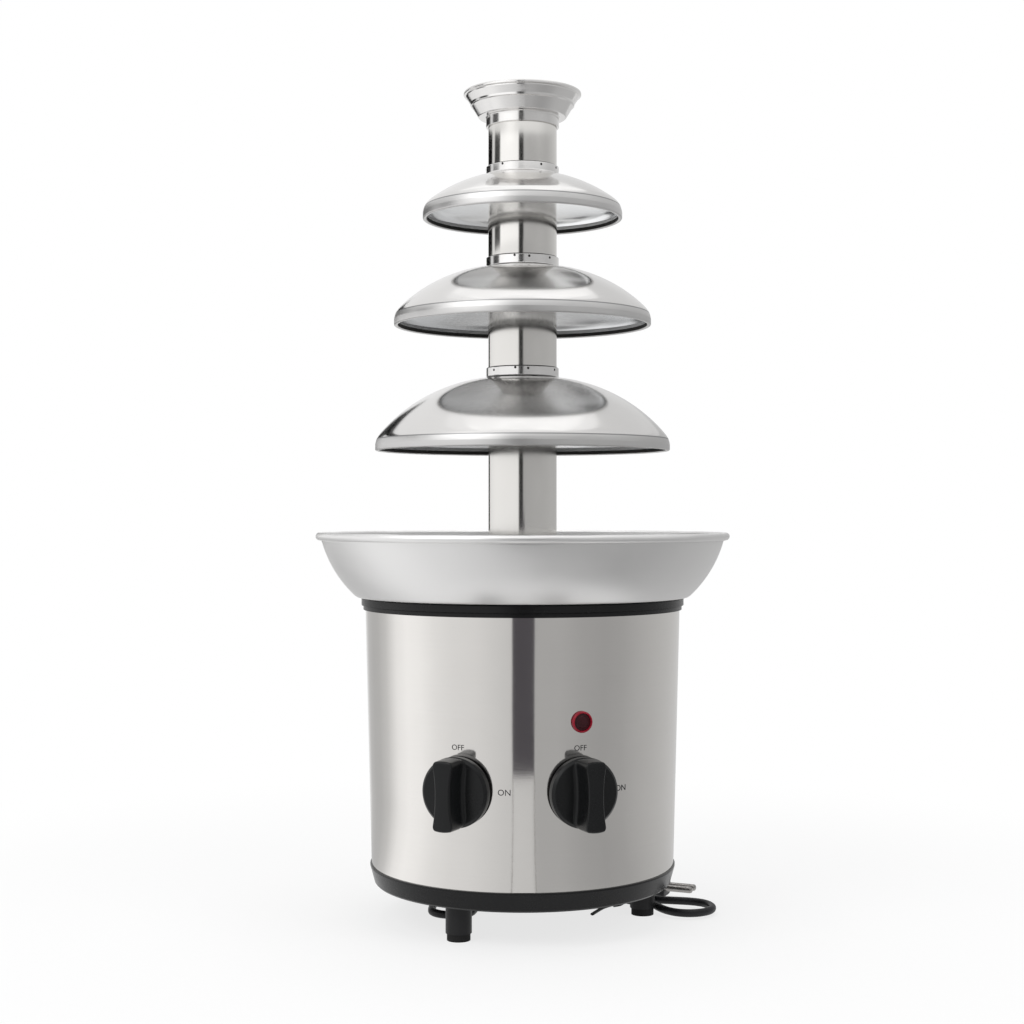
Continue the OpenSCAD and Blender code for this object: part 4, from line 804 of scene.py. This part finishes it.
disc_outline = rounded([(0.01, knob_back + 4, 0), (9.5, knob_back + 4, 0.5), (9.5, knob_back, 0.4),
                        (knob_r - 0.2, knob_back, 0.6), (knob_r, knob_front - 1.4, 0.5),
                        (knob_r - 1.5, knob_front, 0.7), (0.01, knob_front, 0)], 4)
grip_stack = [grip_ring(2.6, -0.5, knob_front - 0.4), grip_ring(2.4, -0.4, knob_front)]
grip_stack += [grip_ring(2.4 * (1 - sin(radians(a))), -0.4 * cos(radians(a)),
                         knob_front + 2.6 * (1 - cos(radians(a)))) for a in (20, 40, 60, 80)]
grip_stack += [grip_ring(-0.02 * h, -0.02 * h, knob_front + h) for h in (3.2, 6, 9, 12)]
grip_stack += [grip_ring(-0.25 - 1.1 * (1 - cos(radians(a))), -0.25 - 1.1 * (1 - cos(radians(a))),
                         grip_top - 1.7 + 1.1 * sin(radians(a)), 0.3 * sin(radians(a)))
               for a in (0, 18, 36, 54, 72, 90)]


def knob(name, node, angle, body):
    points = turned_on_panel(angle, knob_z, disc_outline, disc_segments)
    faces = loft_faces(disc_segments, len(disc_outline), closed=True)
    start = len(points)
    for ring in grip_stack:
        points += [on_panel(angle, knob_z, p) for p in ring]
    faces += loft_faces(len(grip_stack), len(grip_stack[0]), start)
    piece = add_mesh(name, points, faces, body, 42)
    piece.data.materials.append(knob_black)
    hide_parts(node)
    return piece


motor_grip = knob("motor_knob_moulded", "motor_knob", -panel_angle, "motor_knob_body")
heat_grip = knob("heat_knob_moulded", "heat_knob", panel_angle, "heat_knob_body")
print("knob faces:", len(motor_grip.data.polygons), len(heat_grip.data.polygons))

# %% [markdown]
# The pilot lamp is a red bezel pressed into the wrap, with a dark window in its middle that glows
# only when the fountain heats. Two turned pieces stand for it, because a bezel and a window have
# different gloss and depth.

# %% The pilot lamp
lamp_z, lens_segments = 122.4, 64


def lens(name, corners):
    outline = rounded(corners)
    points = turned_on_panel(panel_angle, lamp_z, outline, lens_segments)
    faces = loft_faces(lens_segments, len(outline), closed=True)
    return add_mesh(name, points, faces, "base", 40)


bezel = lens("lamp_bezel", [(4.6, 90.3, 0), (5.8, 90.3, 0.2), (5.8, 91.3, 0.5), (5.4, 92.2, 0.5),
                            (4.9, 92.4, 0.4), (4.6, 91.4, 0.3)])
window = lens("lamp_window", [(0.01, 90.4, 0), (4.7, 90.4, 0), (4.7, 91.2, 0.2), (3.4, 91.4, 0.4),
                              (3.0, 91.7, 0.3), (1.6, 91.95, 0.8), (0.01, 92.0, 0)])
red_bezel = moulded("red_bezel", (0.27, 0.008, 0.022), 0.25, 0.8, 0.004, 0.3)
dark_window = moulded("dark_window", (0.035, 0.004, 0.007), 0.2, 0.6, 0.004, 0.5)
bezel.data.materials.append(red_bezel)
window.data.materials.append(dark_window)
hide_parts("lamp_lens")
print("lamp faces:", len(bezel.data.polygons) + len(window.data.polygons))

# %% [markdown]
# The positions of each switch are printed on the wrap in small capitals. Text objects are flat, so
# each word is turned into a mesh, and its points are then laid round the wrap, a hair above it.

# %% Printed positions
ink = moulded("printing_ink", (0.02, 0.02, 0.022), 0.55, 0.3, 0.002, 0.3)
wrap_r, wrap_flare, wrap_low, wrap_tall, ink_lift = 87.7, 3.6, 31.5, 148, 0.06


def printed(name, word, angle, height, size):
    text = bpy.data.curves.new(name, "FONT")
    text.body = word
    text.size = size
    text.align_x, text.align_y = "CENTER", "CENTER"
    text.resolution_u = 3
    flat = add_object(name + "_flat", text)
    bpy.context.view_layer.update()
    outline = flat.evaluated_get(bpy.context.evaluated_depsgraph_get()).to_mesh()
    points = []
    for v in outline.vertices:
        z = height + v.co.y
        r = wrap_r + wrap_flare * (z - wrap_low) / wrap_tall + ink_lift
        a = radians(angle) + v.co.x / r
        points.append((r * sin(a), -r * cos(a), z))
    faces = [tuple(p.vertices) for p in outline.polygons]
    bpy.data.objects.remove(flat)
    word_piece = add_mesh(name, points, faces, "base")
    word_piece.data.materials.append(ink)


for side, label in ((-panel_angle, "motor"), (panel_angle, "heat")):
    printed(label + "_off_mark", "OFF", side - 0.3, 108.3, 4.2)
    printed(label + "_on_mark", "ON", side + 16.2, knob_z, 4.6)
print("printed words:", 4)

# %% [markdown]
# Every solid that still shows gets its finish here, by the piece's name. The list is also a map of
# the machine: what is pressed steel, what is moulded, what is turned.

# %% Finishes of the solids that stay
solid_finishes = {
    trim_black: "bottom_pan top_ring", leg_black: "legs strain_relief",
    rubber_black: "leg_tips", wrap_steel: "stainless_wrap", tube_steel: "lower_tube",
    turned_steel: "locating_pegs drive_shaft cross_pin gear_pin motor_shaft motor_stem heat_stem tie_rods",
    zinc: "base_screws bowl_studs bowl_nuts deck_plate deck_screws case_screws panel_nuts motor_can",
    cast_alloy: "heater_plate gear_case gear_cover", bronze: "upper_bush lower_bush motor_pinion",
    nylon: "intermediate_gear output_gear auger terminal_block", silicone: "shaft_seal thermal_fuse",
    switch_body: "motor_switch heat_switch lamp_body motor_end_cap thermostat",
    magnet_grey: "motor_magnets heater_element", wire_jacket: "wiring"}
for material, names in solid_finishes.items():
    for name in names.split():
        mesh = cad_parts[name].data
        mesh.materials.clear()
        mesh.materials.append(material)
for piece in (mains_lead, plug_body, tie):
    piece.data.materials.append(lead_black)
pins.data.materials.append(shaded_pin_metal)
print("solids with a finish:", sum(len(n.split()) for n in solid_finishes.values()))

# %% [markdown]
# The studio is a pale floor under a white sky. The sky is white only for what the camera and the
# mirrors see, and dimmer for what lights the object, so the background is clean and nothing burns
# out. The floor is matt near the object, where it must show a shadow, and fades into the same white
# further out, so no horizon line shows.

# %% Floor and sky
class Sky(Finish):
    """The same arithmetic for the world's own node tree."""

    def __init__(self, world):
        self.material, self.tree = world, world.node_tree
        self.tree.nodes.clear()


scene.world = scene.world or bpy.data.worlds.new("studio")
scene.world.use_nodes = True
sky = Sky(scene.world)


def seen(finish):
    """1 for rays from the camera, a mirror or glass, else 0."""
    path = finish.node("ShaderNodeLightPath")
    outs = path.socket.node.outputs
    camera_ray, glossy, through = (Shade(finish, outs[n]) for n in
                                   ("Is Camera Ray", "Is Glossy Ray", "Is Transmission Ray"))
    return finish.node("ShaderNodeMath", {"operation": "MINIMUM"},
                       {0: camera_ray + glossy + through, 1: 1.0})


white_sky = sky.node("ShaderNodeBackground", values={"Color": (1, 1, 1, 1), "Strength": 1.0})
light_sky = sky.node("ShaderNodeBackground", values={"Color": (0.98, 0.99, 1, 1), "Strength": 0.42})
both = sky.node("ShaderNodeMixShader", values={0: seen(sky), 1: light_sky, 2: white_sky})
sky.node("ShaderNodeOutputWorld", values={"Surface": both})

ground = Finish("pale_floor")
place, x, y, _ = ground.places()
far = ground.node("ShaderNodeMapRange", {"interpolation_type": "SMOOTHSTEP"},
                  {"Value": (x * x + y * y) ** 0.5, "From Min": 0.16, "From Max": 0.55,
                   "To Min": 0.76, "To Max": 1.0})
speck = ground.noise(place, 300.0)
pale = ground.mix(speck, (0.87, 0.87, 0.87, 1), (0.9, 0.9, 0.9, 1))
matt = ground.node("ShaderNodeBsdfDiffuse", values={"Color": pale})
glow = ground.node("ShaderNodeEmission", values={"Color": (1, 1, 1, 1), "Strength": 1.0})
surface = ground.node("ShaderNodeMixShader", values={0: far * seen(ground), 1: matt, 2: glow})
ground.node("ShaderNodeOutputMaterial", values={"Surface": surface})
half = 9
floor_mesh = bpy.data.meshes.new("floor")
floor_mesh.from_pydata([(-half, -half, 0), (half, -half, 0), (half, half, 0), (-half, half, 0)], [],
                       [(0, 1, 2, 3)])
floor = add_object("floor", floor_mesh)
floor.data.materials.append(ground.material)
print("floor and sky ready")

# %% [markdown]
# Polished steel has hardly a look of its own: it shows the room. So the room is built as a roll of
# card round the object, with pale and dark stretches where the photograph's reflections have them:
# a large white screen on the left, a narrow dark gap at the camera, a grey wall on the right. Only
# mirrors see the cards. They give no light, throw no shadow and the camera looks through them.

# %% Cards for the mirrors
def hang_card(finish, colour, points, faces):
    """A card that only mirrors see, named as its finish."""
    glow = finish.node("ShaderNodeEmission", values={"Color": colour, "Strength": 1.0})
    finish.node("ShaderNodeOutputMaterial", values={"Surface": glow})
    mesh = bpy.data.meshes.new(finish.material.name)
    mesh.from_pydata(points, [], faces)
    mesh.materials.append(finish.material)
    card = add_object(finish.material.name, mesh)
    card.visible_camera = card.visible_diffuse = card.visible_shadow = False
    card.visible_transmission = card.visible_volume_scatter = False
    print("card:", card.name)


def card_roll(name, outline, stops, segments=128):
    """A roll of card round the axis; stops are (degrees from the front towards +X, grey)."""
    finish = Finish(name)
    _, x, y, _ = finish.places()
    turn = finish.node("ShaderNodeMath", {"operation": "ARCTAN2"}, {0: x, 1: 0.0 - y})
    stops = [((angle + 180) / 360, grey) for angle, grey in stops]
    grey = finish.node("ShaderNodeValToRGB", {"stops": stops}, {0: turn / (2 * pi) + 0.5})
    points, faces, n = [], [], len(outline)
    for k in range(segments + 1):
        a = radians(-180 + 360 * k / segments)
        points += [(r * sin(a), -r * cos(a), z) for r, z in outline]
    for low in range(0, segments * n, n):
        faces += [(low + i, low + n + i, low + n + i + 1, low + i + 1) for i in range(n - 1)]
    hang_card(finish, grey, points, faces)


card_roll("low_card_roll", [(0.18, 0.001), (0.42, 0.001), (0.42, 0.19)], [
    (-180, 0.88), (-155, 0.86), (-141, 0.56), (-128, 0.52), (-118, 0.54), (-106, 0.66),
    (-93, 0.98), (-82, 1.08), (-70, 1.04), (-58, 0.92), (-45, 0.84), (-30, 0.8), (-10, 0.68),
    (7, 0.64), (10, 0.46), (24, 0.46), (40, 0.41), (55, 0.385), (70, 0.41), (85, 0.47),
    (105, 0.53), (128, 0.59), (155, 0.64), (180, 0.88)])
card_roll("middle_card_roll", [(0.42, 0.19), (0.42, 0.41)], [
    (-180, 0.9), (-157, 0.9), (-154, 0.04), (-140, 0.04), (-137, 0.9), (-100, 1.05), (-12, 1.0),
    (-10, 0.03), (2, 0.03), (4, 0.46), (60, 0.47), (110, 0.52), (150, 0.5), (180, 0.85)])
card_roll("upper_card_roll", [(0.8, 0.38), (0.8, 0.655)], [
    (-180, 0.9), (-160, 0.9), (-158, 0.005), (-121, 0.005), (-117, 0.8), (-106, 0.8),
    (-102, 0.05), (-80, 0.08), (-76, 1.25), (-12, 1.2), (-10, 0.02), (3, 0.02), (6, 0.52),
    (40, 0.47), (90, 0.5), (180, 0.8)])
card_roll("high_card_roll", [(0.8, 0.655), (0.8, 0.98), (0.42, 0.62), (0.42, 0.9)], [
    (-180, 0.9), (-90, 0.9), (-30, 1.0), (30, 0.9), (90, 0.72), (150, 0.72), (180, 0.82)])

# %% [markdown]
# A narrow dark card hangs where the photographer stood. It makes the dark upright stripe on the
# wrap, which ends where the table's edge cuts it off. Below it two thin lines carry on the stripe's
# edges down the wall and over the floor, and a white card overhead lights up the tops of the domes.

# %% The dark card, its lines and the roof
def flat_card(name, corners, grey):
    finish = Finish(name)
    place, *_ = finish.places()
    dark, pale = (tuple(share * g for g in grey) + (1,) for share in (0.8, 1.2))
    shade = finish.mix(finish.noise(place, 6.0), dark, pale)
    hang_card(finish, shade, corners, [tuple(range(len(corners)))])


dark_left, dark_right, dark_y, dark_low, dark_high = -0.038, 0.06, -0.40, 0.03, 0.23
line_y, line_z, near_y, near_w, far_w = -0.401, 0.002, -0.12, 0.0007, 0.0025
line_grey = (0.12, 0.11, 0.1)
flat_card("dark_card", [(dark_left, dark_y, dark_low), (dark_right, dark_y, dark_low),
                        (dark_right, dark_y, dark_high), (dark_left, dark_y, dark_high)],
          (0.082, 0.077, 0.086))
for name, near, far in (("left_line", -0.0115, dark_left), ("right_line", 0.018, dark_right)):
    left_end, right_end = (far, line_y, line_z), (far + far_w, line_y, line_z)
    flat_card(name + "_floor", [(near, near_y, line_z), (near + near_w, near_y, line_z),
                                right_end, left_end], line_grey)
    flat_card(name + "_wall", [left_end, right_end, (far + far_w, line_y, dark_low),
                               (far, line_y, dark_low)], line_grey)
roof_half, roof_z = 0.3, 0.9
flat_card("roof_card", [(-roof_half, -roof_half, roof_z), (roof_half, -roof_half, roof_z),
                        (roof_half, roof_half, roof_z), (-roof_half, roof_half, roof_z)],
          (1.15, 1.15, 1.15))

# %% [markdown]
# Three large soft lamps light the scene, as in a product studio: a key at the upper left, a weaker
# fill at the right and a broad one overhead. They are large so that their highlights on the black
# parts are soft, and together they light a white card to just under white.

# %% Lamps
def soft_lamp(name, place, aim, size, watts):
    lamp_data = bpy.data.lights.new(name, "AREA")
    lamp_data.shape = "RECTANGLE"
    lamp_data.size, lamp_data.size_y = size
    lamp_data.energy = watts
    lamp = add_object(name, lamp_data)
    lamp.location = place
    lamp.rotation_euler = (Vector(aim) - Vector(place)).to_track_quat("-Z", "Y").to_euler()


soft_lamp("key_lamp", (-0.9, -0.9, 1.2), (0, 0, 0.2), (0.8, 0.8), 9)
soft_lamp("fill_lamp", (1.0, -0.7, 0.8), (0, 0, 0.2), (0.7, 0.9), 4)
soft_lamp("top_lamp", (0, 0.1, 1.5), (0, 0, 0), (1.0, 1.0), 9)
scene.view_settings.view_transform = "Standard"
print("lamps:", 3)

# %% [markdown]
